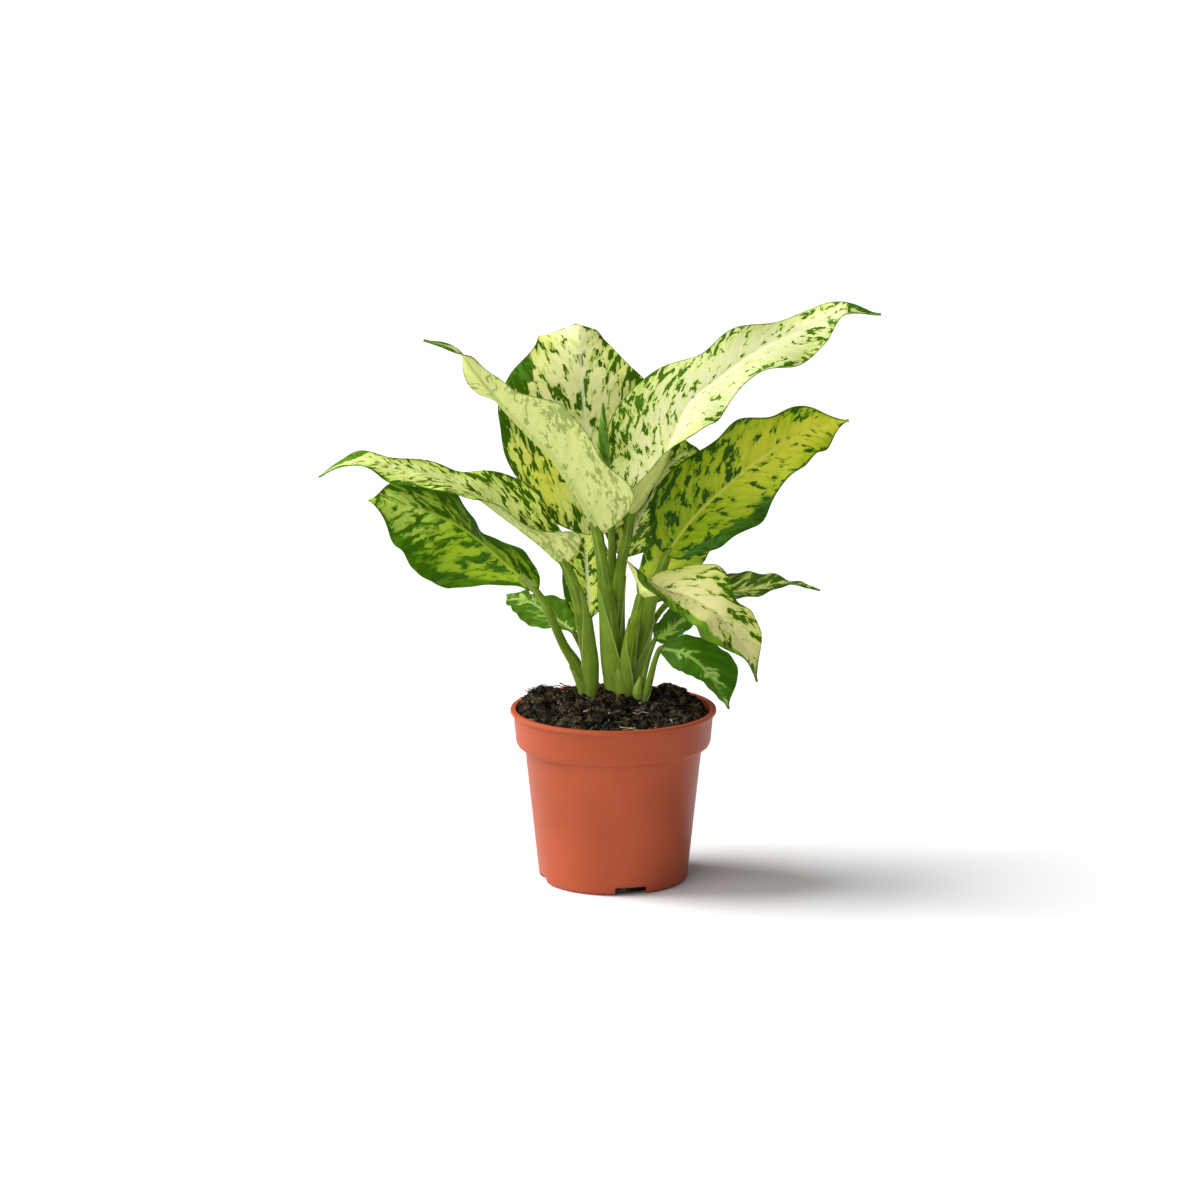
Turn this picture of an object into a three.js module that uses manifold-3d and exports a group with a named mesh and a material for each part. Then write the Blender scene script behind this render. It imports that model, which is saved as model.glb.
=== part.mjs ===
// A variegated dieffenbachia in a round, tapered nursery pot.
// Millimetres, +Z up. The origin is the pot's axis on the surface it stands on, and the plant
// is seen from -Y. Leaf ribs and stalks are given as points in that frame.

import * as THREE from 'three';
import { mergeVertices } from 'three/addons/utils/BufferGeometryUtils.js';
import Module from 'manifold-3d';

const wasm = await Module();
wasm.setup();

// Pot
const RIM_RADIUS = 60;
const POT_HEIGHT = 102;
const LIP_HEIGHT = 2.8;
const COLLAR_TOP_RADIUS = 58.25;
const COLLAR_FOOT_RADIUS = 56.8;
const COLLAR_DEPTH = 22.7;
const BODY_TOP_RADIUS = 51.5;
const BODY_FOOT_RADIUS = 43.4;
const WALL = 1.5;
const FLOOR = 1.6;
const ROUND_SEGMENTS = 48;

// Notches in the pot's bottom edge
const NOTCH_COUNT = 4;
const NOTCH_TURN = THREE.MathUtils.degToRad(-76);
const NOTCH_WIDTH = 19;
const NOTCH_HEIGHT = 5;
const NOTCH_INNER_RADIUS = 33;
const DRAIN_RADIUS = 3;
const DRAIN_CIRCLE = 38;

// Compost
const GAP = 0.3;
const SOIL_LEVEL = 97.6;
const MOUND_HEIGHT = 6.2;
const MOUND_CENTRE = [1, 19];
const MOUND_SPREAD = 21;
const LUMP_COUNT = 90;
const CANE_FOOT = 74;

// Blades
const BLADE_THICKNESS = 0.8;
const RIB_HALF_WIDTH = 2.1;
const RIB_DEPTH = 2.6;
const STALK_SIDES = 8;

// Half-width of a blade from its base to its tip, as a share of the widest place.
const OUTLINE = [0, 0.68, 0.91, 0.99, 1, 0.96, 0.88, 0.75, 0.53, 0.2, 0];

// One cane for each shoot: its axis, radius and the height it tapers off at.
const CANES = {
  shoot_centre: { x: 5, y: 25.5, radius: 11.5, top: 107.5 },
  shoot_left: { x: -14.5, y: 25, radius: 6, top: 106 },
  shoot_small: { x: 16, y: 10, radius: 4.6, top: 105.5 },
};

// Each leaf has its midrib's points, the direction its upper face looks along the rib, the
// half-widths and upward fold angles of its left and right halves, and the edge waves as height,
// number and phase. The stalk's points and radii run from the cane to just under the blade.
const LEAVES = [
  {
    name: 'leaf_top_right', shoot: 'shoot_centre', colour: 0xe6ebb4, rows: 20,
    rib: [
      [9.5, 14, 214], [19, 16, 228], [27.5, 18, 242], [35, 21, 260], [44.5, 24, 277.5],
      [61, 26, 291.5], [79, 28, 304.5], [98.5, 30, 315], [118, 32, 322], [135.5, 33, 328.5],
      [155, 34, 328],
    ],
    face: [[-0.45, -0.6, 0.5], [-0.32, -0.8, 0.5], [-0.25, -0.8, 0.55]],
    left: [38, 40, 41, 38, 30, 20, 22, 14, 22, 37, 15], right: [28, 28, 30, 27, 26, 19, 17, 27, 25, 6, 8],
    foldLeft: [8, 12, 10, 5, 0], foldRight: [85, 75, 62, 42, 22, 12, 8, 5, 5, 5, 5],
    waveLeft: [2.5, 3, 0.35], waveRight: [2.5, 3, 0.5],
    stalk: [[3, 26, 98], [3, 25.5, 108], [2, 24, 128], [2, 21, 155], [4, 18, 180], [8, 15, 200]],
    radii: [5, 5, 5, 4.2, 3.4, 2.9, 2.6],
  },
  {
    name: 'leaf_right', shoot: 'shoot_centre', colour: 0x8f9a2c, rows: 20,
    rib: [[31, 14, 190], [46, 18, 210], [65, 22, 228], [88, 26, 246], [113, 30, 260], [137, 32, 266]],
    face: [[-0.4, -0.8, 0.45], [-0.3, -0.85, 0.4], [-0.3, -0.75, 0.5]],
    left: [36, 29, 30, 29, 27, 26, 30, 23, 31, 37, 20], right: [36, 26, 33, 31, 33, 28, 25, 28, 29, 48, 20],
    foldLeft: [15, 15, 10], foldRight: [15, 8, 5],
    waveLeft: [2.5, 2.5, 0.6], waveRight: [2.5, 2.5, 0.6],
    stalk: [[9, 25, 98], [9.8, 25, 108], [15, 24, 125], [18, 21, 142], [22, 17, 162], [28, 14, 181]],
    radii: [5, 5, 5, 4.4, 3.8, 3.2, 2.7],
  },
  {
    name: 'leaf_back', shoot: 'shoot_centre', colour: 0xd9e0a0, rows: 20,
    rib: [[-8, 28, 199], [-12, 34, 231], [-16, 40, 262], [-19, 48, 293], [-21, 62, 317], [-23, 84, 308]],
    face: [[0.2, -0.9, 0.35], [0.25, -0.85, 0.4], [0.1, -0.5, 0.85]],
    left: [40, 46, 46, 52, 54, 54, 47, 34, 38, 34, 25], right: [36, 40, 42, 44, 45, 44, 35, 26, 25, 24, 20],
    foldLeft: [10, 10, 8, 8, 5, 2, 0, -10, -30, -25, -15],
    foldRight: [15, 13, 11, 10, 6, 2, 0, -5, -10, -15, -15],
    waveLeft: [2.5, 3, 0], waveRight: [2.5, 3, 0.5],
    stalk: [[1, 29, 98], [0.6, 29.5, 108], [-3, 32, 135], [-5, 31, 165], [-7, 29, 187]],
    radii: [4, 4, 4, 3.2, 2.8, 2.5],
  },
  {
    name: 'leaf_centre_back', shoot: 'shoot_centre', colour: 0x7d9a48, rows: 12,
    rib: [[5, 28, 186], [16, 34, 209], [27, 40, 230], [40, 46, 243], [52, 54, 243]],
    face: [[-0.2, -0.85, 0.45]],
    left: [22], right: [18, 20, 22, 22],
    foldLeft: [10, 10, 5], foldRight: [10, 10, 5],
    waveLeft: [1.5, 2, 0.2], waveRight: [1.5, 2, 0.5],
    stalk: [[3, 30, 98], [3, 30.3, 108], [2, 31, 135], [2, 29, 163]],
    radii: [3.4, 3.4, 3.2, 2.8, 2.3],
  },
  {
    name: 'leaf_top_left', shoot: 'shoot_centre', colour: 0xb9cb78, rows: 22,
    rib: [
      [-9, 2, 205.5], [-16, -3, 222], [-25, -8, 238], [-34, -14, 252], [-44, -20, 263.5],
      [-54, -26, 274.5], [-63, -31, 285], [-71.5, -35, 296], [-80, -38, 307.5], [-88.5, -40, 319.5],
      [-107.5, -42, 325.5],
    ],
    face: [
      [0.7, 0.6, 0.4], [0.7, 0.6, 0.4], [0.7, 0.6, 0.4], [0.7, 0.6, 0.4], [0.65, 0.65, 0.4],
      [0.6, 0.7, 0.4], [0.5, 0.7, 0.4], [0.4, 0.8, 0.5], [0.3, 0.6, 0.7], [-0.15, -0.6, 0.8],
      [-0.3, -0.8, 0.6],
    ],
    left: [46, 43, 28, 26, 26, 25, 17, 13, 12, 28, 26], right: [34, 30, 28, 26, 24, 22, 20, 14, 14, 22, 26],
    foldLeft: [37, 37, 25], foldRight: [45, 45, 45, 50, 55, 55, 40, 0, -20, -10, 0],
    waveLeft: [2, 2.5, 0.2], waveRight: [1.5, 2.5, 0.5],
    stalk: [[1.5, 24.5, 98], [1, 24, 108], [-1, 20, 129], [-3, 14, 157], [-6, 7, 182]],
    radii: [5.5, 5.6, 6, 5, 3.7, 2.9],
  },
  {
    name: 'leaf_left', shoot: 'shoot_left', colour: 0xdde0b0, rows: 22,
    rib: [
      [-27.5, 4, 187], [-40, 2, 198.5], [-52.5, 0, 208.5], [-65.5, -2, 218.5], [-78.5, -4, 228.5],
      [-93.5, -5, 235.5], [-108.5, -6, 241.5], [-124, -7, 246], [-139.5, -8, 249.5],
      [-154.5, -9, 248.5], [-169.5, -10, 240.5],
    ],
    face: [[0.45, -0.1, 0.88], [0.45, -0.1, 0.88], [0.1, -0.2, 0.95]],
    left: [30, 38, 15, 20, 23, 25, 18, 27, 24, 20, 15], right: [26, 20, 25, 26, 20, 12, 14, 8, 16, 36, 20],
    foldLeft: [72, 55, 28, 25, 10, 4, -5, -10, -8, 0, 0],
    foldRight: [55, 54, 50, 42, 34, 30, 26, 20, 15, 12, 10],
    waveLeft: [1, 2.5, 0.2], waveRight: [1, 2.5, 0.5], lobe: 0.6,
    stalk: [[-13.5, 24.5, 98], [-13.5, 24, 108], [-14, 21, 125], [-17, 17, 144], [-21, 10, 166]],
    radii: [4, 4.3, 4.8, 4.5, 3.8, 2.8],
  },
  {
    name: 'leaf_lower_left', shoot: 'shoot_left', colour: 0x3a5a26, rows: 19,
    rib: [
      [-44, 0, 171], [-54, -4, 181], [-64.5, -8, 191.5], [-75, -12, 202], [-86.5, -15.5, 211.5],
      [-99, -19, 219], [-112, -22.5, 224.7], [-126, -26, 228.6], [-140, -30, 231],
    ],
    face: [[0.2, -0.65, 0.75]],
    left: [8, 8, 17, 27, 34, 38, 42, 46, 50, 76, 40], right: [36, 29, 23, 21, 22, 29, 33, 32, 33, 70, 40],
    foldLeft: [-60, -55, -38, -28, -25, -22, -20],
    foldRight: [-5, -10, -15, -35, -35, -22, -12, -10, -12, -15, -15],
    waveLeft: [1, 2, 0.2], waveRight: [1, 2, 0.5],
    stalk: [[-16.5, 24.5, 98], [-17, 24, 107], [-22, 20, 123], [-29, 14, 136], [-37, 6, 156]],
    radii: [3, 3.2, 3.6, 2.8, 2.5, 2.2],
  },
  {
    name: 'leaf_low_back_left', shoot: 'shoot_left', colour: 0x2f4a24, rows: 11,
    rib: [[-23, 18, 143], [-36, 30, 150], [-50, 42, 156], [-63, 52, 158]],
    face: [[0.2, -0.5, 0.85]],
    left: [8, 6, 10, 13, 15, 16, 16, 17, 18, 33, 25], right: [12, 12, 13, 15, 17, 18, 15, 15, 18, 43, 25],
    foldLeft: [0, -5, 0], foldRight: [0, -5, 0],
    waveLeft: [1, 1.5, 0.2], waveRight: [1, 1.5, 0.5],
    stalk: [[-14.5, 27, 98], [-14.7, 27, 108], [-15, 27, 119], [-18, 23, 131]],
    radii: [2.2, 2.2, 1.9, 1.7, 1.5],
  },
  {
    name: 'leaf_mid_back', shoot: 'shoot_left', colour: 0xc9d795, rows: 10,
    rib: [[-14, 36, 147], [-15, 41, 166], [-16, 46, 186], [-15, 52, 206]],
    face: [[0, -0.9, 0.3]],
    left: [17, 15, 15, 15, 15], right: [8, 14, 16, 16, 16],
    foldLeft: [15, 10, 0], foldRight: [15, 10, 0],
    waveLeft: [1, 1.5, 0.2], waveRight: [1, 1.5, 0.5],
    stalk: [[-13, 27, 98], [-12.7, 28, 108], [-11.5, 33, 125]],
    radii: [2.5, 2.5, 2.2, 1.7],
  },
  {
    name: 'leaf_front_right', shoot: 'shoot_centre', colour: 0xdedd9a, rows: 20,
    rib: [
      [16, -2, 171], [23, -8, 173], [30.5, -12, 174], [38, -18, 174], [45.5, -24, 172.5],
      [52.5, -29, 169.5], [60, -34, 165.5], [66.5, -38, 159], [73, -42, 151], [78.5, -46, 141],
      [82, -50, 129],
    ],
    face: [[-0.1, -0.5, 0.84], [0.2, -0.5, 0.84], [0.6, -0.5, 0.6]],
    left: [22, 16, 19, 24, 26, 24, 18, 24, 27, 30, 20], right: [40, 38, 33, 24, 20, 19, 25, 32, 28, 14, 15],
    foldLeft: [20, 15, 10], foldRight: [100, 63, 42, 24, 10, 5, 5, 0, 0, 0, 0],
    waveLeft: [1.5, 2.5, 0.2], waveRight: [1.5, 2.5, 0.5],
    stalk: [[7.5, 21.5, 98], [7.5, 21, 108], [9, 16, 127], [11, 9, 143], [14, 2, 160]],
    radii: [4.5, 4.6, 4.6, 3.8, 3, 2.6],
  },
  {
    name: 'leaf_mid_right', shoot: 'shoot_centre', colour: 0x9bb04c, rows: 12,
    rib: [[17, 32, 156], [24, 37, 173], [34, 43, 191], [46, 49, 206], [58, 54, 220]],
    face: [[-0.2, -0.85, 0.45]],
    left: [9, 10, 14, 18, 20], right: [16, 24, 27, 28],
    foldLeft: [15, 10, 5], foldRight: [15, 10, 5],
    waveLeft: [1.5, 2, 0.2], waveRight: [1.5, 2, 0.5], lobe: 0.1,
    stalk: [[9, 28, 98], [9.3, 28, 108], [12.5, 31, 129]],
    radii: [3.2, 3.2, 2.8, 2.1],
  },
  {
    name: 'leaf_low_right', shoot: 'shoot_centre', colour: 0x35552a, rows: 13,
    rib: [[32, 23, 160], [53, 20, 164], [77, 16, 168], [100, 12, 173.5], [120, 8, 170]],
    face: [[-0.1, -0.25, 0.96]],
    left: [11, 12, 14, 18, 22, 20, 16, 13, 6, 16, 10], right: [20, 20, 20, 20, 20, 20, 20, 17, 6, 18, 10],
    foldLeft: [0, 5, 5], foldRight: [15, 15, 10],
    waveLeft: [1, 2, 0.2], waveRight: [1, 2, 0.5],
    stalk: [[10.5, 27, 98], [11, 27, 108], [17, 29, 130], [24, 27, 148]],
    radii: [2.8, 2.8, 2.2, 1.9, 1.8],
  },
  {
    name: 'leaf_low_front_right', shoot: 'shoot_small', colour: 0x55782f, rows: 12,
    rib: [[27, 2, 137], [42, -6, 135], [55, -12, 125], [67, -16, 105]],
    face: [[0.1, -0.85, 0.5], [0.3, -0.8, 0.5], [0.5, -0.7, 0.4]],
    left: [10, 9, 12, 14, 16, 18, 21, 26, 32, 43, 25], right: [10, 8, 10, 11, 11, 11, 10, 8, 8, 9, 8],
    foldLeft: [0, -5, 0], foldRight: [0, -5, 0],
    waveLeft: [1, 1.5, 0.2], waveRight: [1, 1.5, 0.5], lobe: 0.1,
    stalk: [[17.3, 10, 96], [17.8, 9.8, 104], [21, 9, 115], [24, 5, 128]],
    radii: [2.4, 2.4, 2.1, 1.7, 1.5],
  },
  {
    name: 'leaf_small_right', shoot: 'shoot_small', colour: 0x456b2c, rows: 10,
    rib: [[24, 12, 140], [32, 12.5, 144.5], [41, 13.5, 152], [51, 15, 161.5]],
    face: [[-0.3, -0.75, 0.55]],
    left: [9, 10, 9, 9, 10, 11, 12, 13, 14, 14, 14], right: [7, 7, 7, 7, 8, 9, 10, 11, 11, 11, 11],
    foldLeft: [5, 5, 5], foldRight: [10, 10, 5],
    waveLeft: [1, 1.5, 0.2], waveRight: [1, 1.5, 0.5], lobe: 0.1,
    stalk: [[15.4, 11.8, 96], [15.8, 12, 104], [17, 13, 114], [20.5, 13, 129]],
    radii: [2, 2, 1.9, 1.6, 1.4],
  },
];

// Sheaths that end in a free tip, and the stalk under the rolled leaf.
const SHEATHS = [
  {
    shoot: 'shoot_centre',
    path: [[6, 21, 98], [5.5, 19.5, 108], [4, 17, 117], [2, 16, 124]],
    radii: [4.5, 4.6, 3.6, 0.9],
  },
  {
    shoot: 'shoot_centre',
    path: [[3, 26, 98], [0, 22, 161], [-1, 17, 198], [-2.6, 15.5, 215]],
    radii: [4, 3, 2.2, 2.1],
  },
  {
    shoot: 'shoot_small',
    path: [[14.8, 9.6, 96], [14.8, 9.4, 104], [14.2, 9, 110], [16, 10.6, 118]],
    radii: [2.4, 2.6, 3, 0.9],
  },
];

const SPEAR = {
  path: [[-2.65, 15.45, 215.5], [-4.4, 15, 236], [-6, 16, 257], [-6, 17, 279]],
  radii: [1.9, 2.7, 3, 0.7],
};

function seeded(seed) {
  let state = seed;
  return () => {
    state = (Math.imul(state, 1664525) + 1013904223) >>> 0;
    return state / 4294967296;
  };
}

// A smooth value at t from 0 to 1 through evenly spaced numbers.
function along(values, t) {
  const last = values.length - 1;
  if (last === 0) return values[0];
  const place = THREE.MathUtils.clamp(t, 0, 1) * last;
  const i = Math.min(Math.floor(place), last - 1);
  const f = place - i;
  const b = values[i];
  const c = values[i + 1];
  const a = i > 0 ? values[i - 1] : 2 * b - c;
  const d = i + 2 <= last ? values[i + 2] : 2 * c - b;
  const cubic = 3 * b - a - 3 * c + d;
  const square = 2 * a - 5 * b + 4 * c - d;
  return 0.5 * (2 * b + (c - a) * f + square * f * f + cubic * f * f * f);
}

function pointAlong(points, t) {
  return new THREE.Vector3(...[0, 1, 2].map((axis) => along(points.map((p) => p[axis]), t)));
}

// The rib's point at t, its direction, the upper face's normal and the blade's right.
function ribFrame(leaf, t) {
  const step = 0.001;
  const behind = pointAlong(leaf.rib, Math.max(t - step, 0));
  const ahead = pointAlong(leaf.rib, Math.min(t + step, 1));
  const forward = ahead.sub(behind).normalize();
  const up = pointAlong(leaf.face, t);
  up.addScaledVector(forward, -up.dot(forward)).normalize();
  const right = forward.clone().cross(up);
  return { point: pointAlong(leaf.rib, t), forward, up, right };
}

function ribHalfWidth(t) {
  return THREE.MathUtils.lerp(RIB_HALF_WIDTH, 0.45, Math.pow(t, 0.7));
}

function outlineWidth(leaf, t, side) {
  return along(side < 0 ? leaf.left : leaf.right, t) * Math.max(along(OUTLINE, t), 0);
}

function halfWidth(leaf, t, side) {
  return Math.max(outlineWidth(leaf, t, side), ribHalfWidth(t) + 0.4);
}

// A point of the blade's middle surface, s from -1 at the left edge to 1 at the right edge.
function bladePoint(leaf, t, s) {
  const { point, forward, up, right } = ribFrame(leaf, t);
  const side = s < 0 ? -1 : 1;
  const u = Math.abs(s);
  const fold = THREE.MathUtils.degToRad(along(side < 0 ? leaf.foldLeft : leaf.foldRight, t));
  const [height, count, phase] = side < 0 ? leaf.waveLeft : leaf.waveRight;
  const fade = Math.min(1, t / 0.12, (1 - t) / 0.1);
  const swing = fade * Math.sin(2 * Math.PI * (count * t + phase));
  const width = halfWidth(leaf, t, side);
  const lobe = (leaf.lobe ?? 0.3) * Math.max(0, 1 - t / 0.3) ** 2;
  const back = lobe * outlineWidth(leaf, t, side) * u * u;
  const lift = height * u * u * swing;
  return point
    .addScaledVector(right, side * (width * u * Math.cos(fold) - lift * Math.sin(fold)))
    .addScaledVector(up, width * u * Math.sin(fold) + lift * Math.cos(fold))
    .addScaledVector(forward, -back);
}

function bladeNormal(leaf, t, s) {
  const step = 0.004;
  const early = Math.max(t - step, 0);
  const late = Math.min(t + step, 1);
  const slope = (a, b) => {
    const across = bladePoint(leaf, t, b).sub(bladePoint(leaf, t, a));
    const lengthwise = bladePoint(leaf, late, (a + b) / 2).sub(bladePoint(leaf, early, (a + b) / 2));
    return across.cross(lengthwise).normalize();
  };
  if (s !== 0 && t > 0) return s < 0 ? slope(s, s + step) : slope(s - step, s);
  const { forward } = ribFrame(leaf, t);
  const normal = slope(s - 2 * step, s - step).add(slope(s + step, s + 2 * step));
  return normal.addScaledVector(forward, -normal.dot(forward)).normalize();
}

function bufferGeometry(points, faces) {
  const geometry = new THREE.BufferGeometry().setFromPoints(points);
  geometry.setIndex(faces.flat());
  geometry.computeVertexNormals();
  return geometry;
}

// Two faces of points in rows and columns, joined round their edge. Both are split alike.
function slab(top, bottom) {
  const rows = top.length - 1;
  const columns = top[0].length - 1;
  const points = [...top.flat(), ...bottom.flat()];
  const half = top.flat().length;
  const at = (i, j) => i * (columns + 1) + j;
  const faces = [];
  for (let i = 0; i < rows; i++) {
    for (let j = 0; j < columns; j++) {
      const [a, b, c, d] = [at(i, j), at(i, j + 1), at(i + 1, j + 1), at(i + 1, j)];
      faces.push([a, b, c], [a, c, d]);
      faces.push([a + half, c + half, b + half], [a + half, d + half, c + half]);
    }
    const [a, d] = [at(i, 0), at(i + 1, 0)];
    faces.push([a, d, d + half], [a, d + half, a + half]);
    const [b, c] = [at(i, columns), at(i + 1, columns)];
    faces.push([b + half, c + half, c], [b + half, c, b]);
  }
  for (let j = 0; j < columns; j++) {
    const [a, b] = [at(0, j), at(0, j + 1)];
    faces.push([a, a + half, b + half], [a, b + half, b]);
    const [d, c] = [at(rows, j), at(rows, j + 1)];
    faces.push([d, c, c + half], [d, c + half, d + half]);
  }
  return bufferGeometry(points, faces);
}

// The blade: a thin waved sheet with its midrib standing out below.
function bladeGeometry(leaf) {
  const shares = leaf.rows > 12 ? [0, 0.3, 0.65, 1] : [0, 0.45, 1];
  const top = [];
  const bottom = [];
  for (let i = 0; i <= leaf.rows; i++) {
    const even = i / leaf.rows;
    const t = THREE.MathUtils.lerp(even, (1 - Math.cos(Math.PI * even)) / 2, 0.6);
    const edge = (side) => {
      const inner = Math.min(ribHalfWidth(t) / halfWidth(leaf, t, side), 0.9);
      return shares.map((share) => side * THREE.MathUtils.lerp(inner, 1, share));
    };
    const columns = [...edge(-1).reverse(), 0, ...edge(1)];
    const rib = THREE.MathUtils.lerp(RIB_DEPTH, 0.3, Math.pow(t, 0.6)) * (leaf.rows > 12 ? 1 : 0.55);
    const pairs = columns.map((s) => {
      const middle = bladePoint(leaf, t, s);
      const normal = bladeNormal(leaf, t, s);
      const under = BLADE_THICKNESS / 2 + (s === 0 ? rib : 0);
      return [
        middle.clone().addScaledVector(normal, BLADE_THICKNESS / 2),
        middle.clone().addScaledVector(normal, -under),
      ];
    });
    top.push(pairs.map((pair) => pair[0]));
    bottom.push(pairs.map((pair) => pair[1]));
  }
  return slab(top, bottom);
}

// A round stalk through the points with a radius at each, ending square to the last direction.
function stalkGeometry(path, radii, lastDirection) {
  const places = path.map((p) => new THREE.Vector3(...p));
  const curve = new THREE.CatmullRomCurve3(places, false, 'centripetal');
  const steps = 2 * (path.length - 1);
  const points = [];
  for (let i = 0; i <= steps; i++) {
    const t = i / steps;
    const centre = curve.getPoint(t);
    const forward = curve.getTangent(t);
    if (i === steps && lastDirection) forward.copy(lastDirection);
    const side = new THREE.Vector3(0, 1, 0).cross(forward).normalize();
    const up = forward.clone().cross(side);
    const radius = along(radii, t);
    for (let k = 0; k < STALK_SIDES; k++) {
      const angle = (2 * Math.PI * k) / STALK_SIDES;
      points.push(centre.clone()
        .addScaledVector(side, radius * Math.cos(angle))
        .addScaledVector(up, radius * Math.sin(angle)));
    }
  }
  const faces = [];
  const at = (i, k) => i * STALK_SIDES + (k % STALK_SIDES);
  for (let i = 0; i < steps; i++) {
    for (let k = 0; k < STALK_SIDES; k++) {
      faces.push([at(i, k), at(i, k + 1), at(i + 1, k + 1)], [at(i, k), at(i + 1, k + 1), at(i + 1, k)]);
    }
  }
  for (let k = 1; k < STALK_SIDES - 1; k++) {
    faces.push([at(0, 0), at(0, k + 1), at(0, k)]);
    faces.push([at(steps, 0), at(steps, k), at(steps, k + 1)]);
  }
  return bufferGeometry(points, faces);
}

// A profile of [radius, height] pairs turned round the vertical axis.
function turned(profile, segments = ROUND_SEGMENTS) {
  const geometry = new THREE.LatheGeometry(profile.map(([r, z]) => new THREE.Vector2(r, z)), segments);
  return geometry.rotateX(Math.PI / 2);
}

function solidOf(geometry) {
  const plain = geometry.clone();
  plain.deleteAttribute('normal');
  plain.deleteAttribute('uv');
  const merged = mergeVertices(plain, 1e-4);
  const index = merged.index.array;
  const kept = [];
  for (let i = 0; i < index.length; i += 3) {
    const [a, b, c] = [index[i], index[i + 1], index[i + 2]];
    if (a !== b && b !== c && c !== a) kept.push(a, b, c);
  }
  return new wasm.Manifold(new wasm.Mesh({
    numProp: 3,
    vertProperties: new Float32Array(merged.attributes.position.array),
    triVerts: new Uint32Array(kept),
  }));
}

function geometryOf(solid) {
  const mesh = solid.getMesh();
  const geometry = new THREE.BufferGeometry();
  geometry.setAttribute('position', new THREE.BufferAttribute(mesh.vertProperties, 3));
  geometry.setIndex(new THREE.BufferAttribute(mesh.triVerts, 1));
  geometry.computeVertexNormals();
  return geometry;
}

function turnedAbout(geometry, angle) {
  return geometry.clone().rotateZ(angle);
}

function notchBlock(margin, low, high, innerRadius) {
  const length = 60 - innerRadius;
  const geometry = new THREE.BoxGeometry(length, NOTCH_WIDTH + 2 * margin, high - low);
  return geometry.translate(innerRadius + length / 2, 0, (low + high) / 2);
}

const NOTCH_STEP = (2 * Math.PI) / NOTCH_COUNT;
const notchAngles = Array.from({ length: NOTCH_COUNT }, (_, i) => NOTCH_TURN + i * NOTCH_STEP);

// The wall's profile: the outside from the foot up, then the inside back down.
const ledge = POT_HEIGHT - COLLAR_DEPTH;
const outside = [
  [0, 0],
  [BODY_FOOT_RADIUS - 3.4, 0],
  [BODY_FOOT_RADIUS - 1.5, 0.5],
  [BODY_FOOT_RADIUS - 0.3, 1.8],
  [BODY_FOOT_RADIUS + 0.2, 3.8],
  [BODY_TOP_RADIUS, ledge - 0.8],
  [BODY_TOP_RADIUS + 0.5, ledge],
  [BODY_TOP_RADIUS + 2.6, ledge + 0.3],
  [COLLAR_FOOT_RADIUS - 1, ledge + 1.6],
  [COLLAR_FOOT_RADIUS, ledge + 4.6],
  [COLLAR_TOP_RADIUS, POT_HEIGHT - LIP_HEIGHT],
  [RIM_RADIUS - 0.5, POT_HEIGHT - LIP_HEIGHT + 0.2],
  [RIM_RADIUS, POT_HEIGHT - LIP_HEIGHT + 0.9],
  [RIM_RADIUS, POT_HEIGHT - 0.8],
  [RIM_RADIUS - 0.7, POT_HEIGHT],
];
const inside = [
  [COLLAR_TOP_RADIUS - WALL + 0.5, POT_HEIGHT],
  [COLLAR_TOP_RADIUS - WALL, POT_HEIGHT - 0.7],
  [COLLAR_FOOT_RADIUS - WALL, ledge + 4.9],
  [COLLAR_FOOT_RADIUS - WALL - 0.9, ledge + 2.7],
  [BODY_TOP_RADIUS + 1.4, ledge + 1.8],
  [BODY_TOP_RADIUS - WALL + 0.2, ledge + 1],
  [BODY_TOP_RADIUS - WALL, ledge - 0.3],
  [BODY_FOOT_RADIUS - WALL + 0.2, FLOOR + 2.4],
  [BODY_FOOT_RADIUS - WALL - 1.2, FLOOR],
  [0, FLOOR],
];

function potGeometry() {
  let pot = solidOf(turned([...outside, ...inside]));
  const filled = solidOf(turned([...outside.slice(0, 6), [0, ledge - 0.8]]));
  const pocket = notchBlock(WALL, 0, NOTCH_HEIGHT + WALL, NOTCH_INNER_RADIUS - WALL);
  const notch = notchBlock(0, -1, NOTCH_HEIGHT, NOTCH_INNER_RADIUS);
  const drain = new THREE.CylinderGeometry(DRAIN_RADIUS, DRAIN_RADIUS, 6, 16).rotateX(Math.PI / 2);
  drain.translate(DRAIN_CIRCLE, 0, NOTCH_HEIGHT + 1);
  for (const angle of notchAngles) {
    pot = pot.add(solidOf(turnedAbout(pocket, angle)).intersect(filled));
  }
  for (const angle of notchAngles) {
    pot = pot.subtract(solidOf(turnedAbout(notch, angle)));
    pot = pot.subtract(solidOf(turnedAbout(drain, angle)));
  }
  return geometryOf(pot);
}

// Height of the compost's top: a low mound round the canes, and many lumps.
function makeRelief() {
  const random = seeded(41);
  const lumps = [];
  for (let i = 0; i < LUMP_COUNT; i++) {
    const radius = 54 * Math.sqrt(random());
    const angle = 2 * Math.PI * random();
    lumps.push({
      x: radius * Math.cos(angle),
      y: radius * Math.sin(angle),
      size: 3.5 + 4 * random(),
      height: -1.6 + 3.6 * random(),
    });
  }
  lumps.push({ x: -49, y: 2, size: 8, height: 4 });
  lumps.push({ x: 40, y: 16, size: 6, height: 4 });
  return (x, y) => {
    const away = Math.hypot(x - MOUND_CENTRE[0], y - MOUND_CENTRE[1]) / MOUND_SPREAD;
    let height = SOIL_LEVEL + MOUND_HEIGHT * Math.exp(-away * away / 2);
    for (const lump of lumps) {
      const share = Math.hypot(x - lump.x, y - lump.y) / lump.size;
      height += lump.height * Math.exp(-share * share);
    }
    return height;
  };
}

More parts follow.
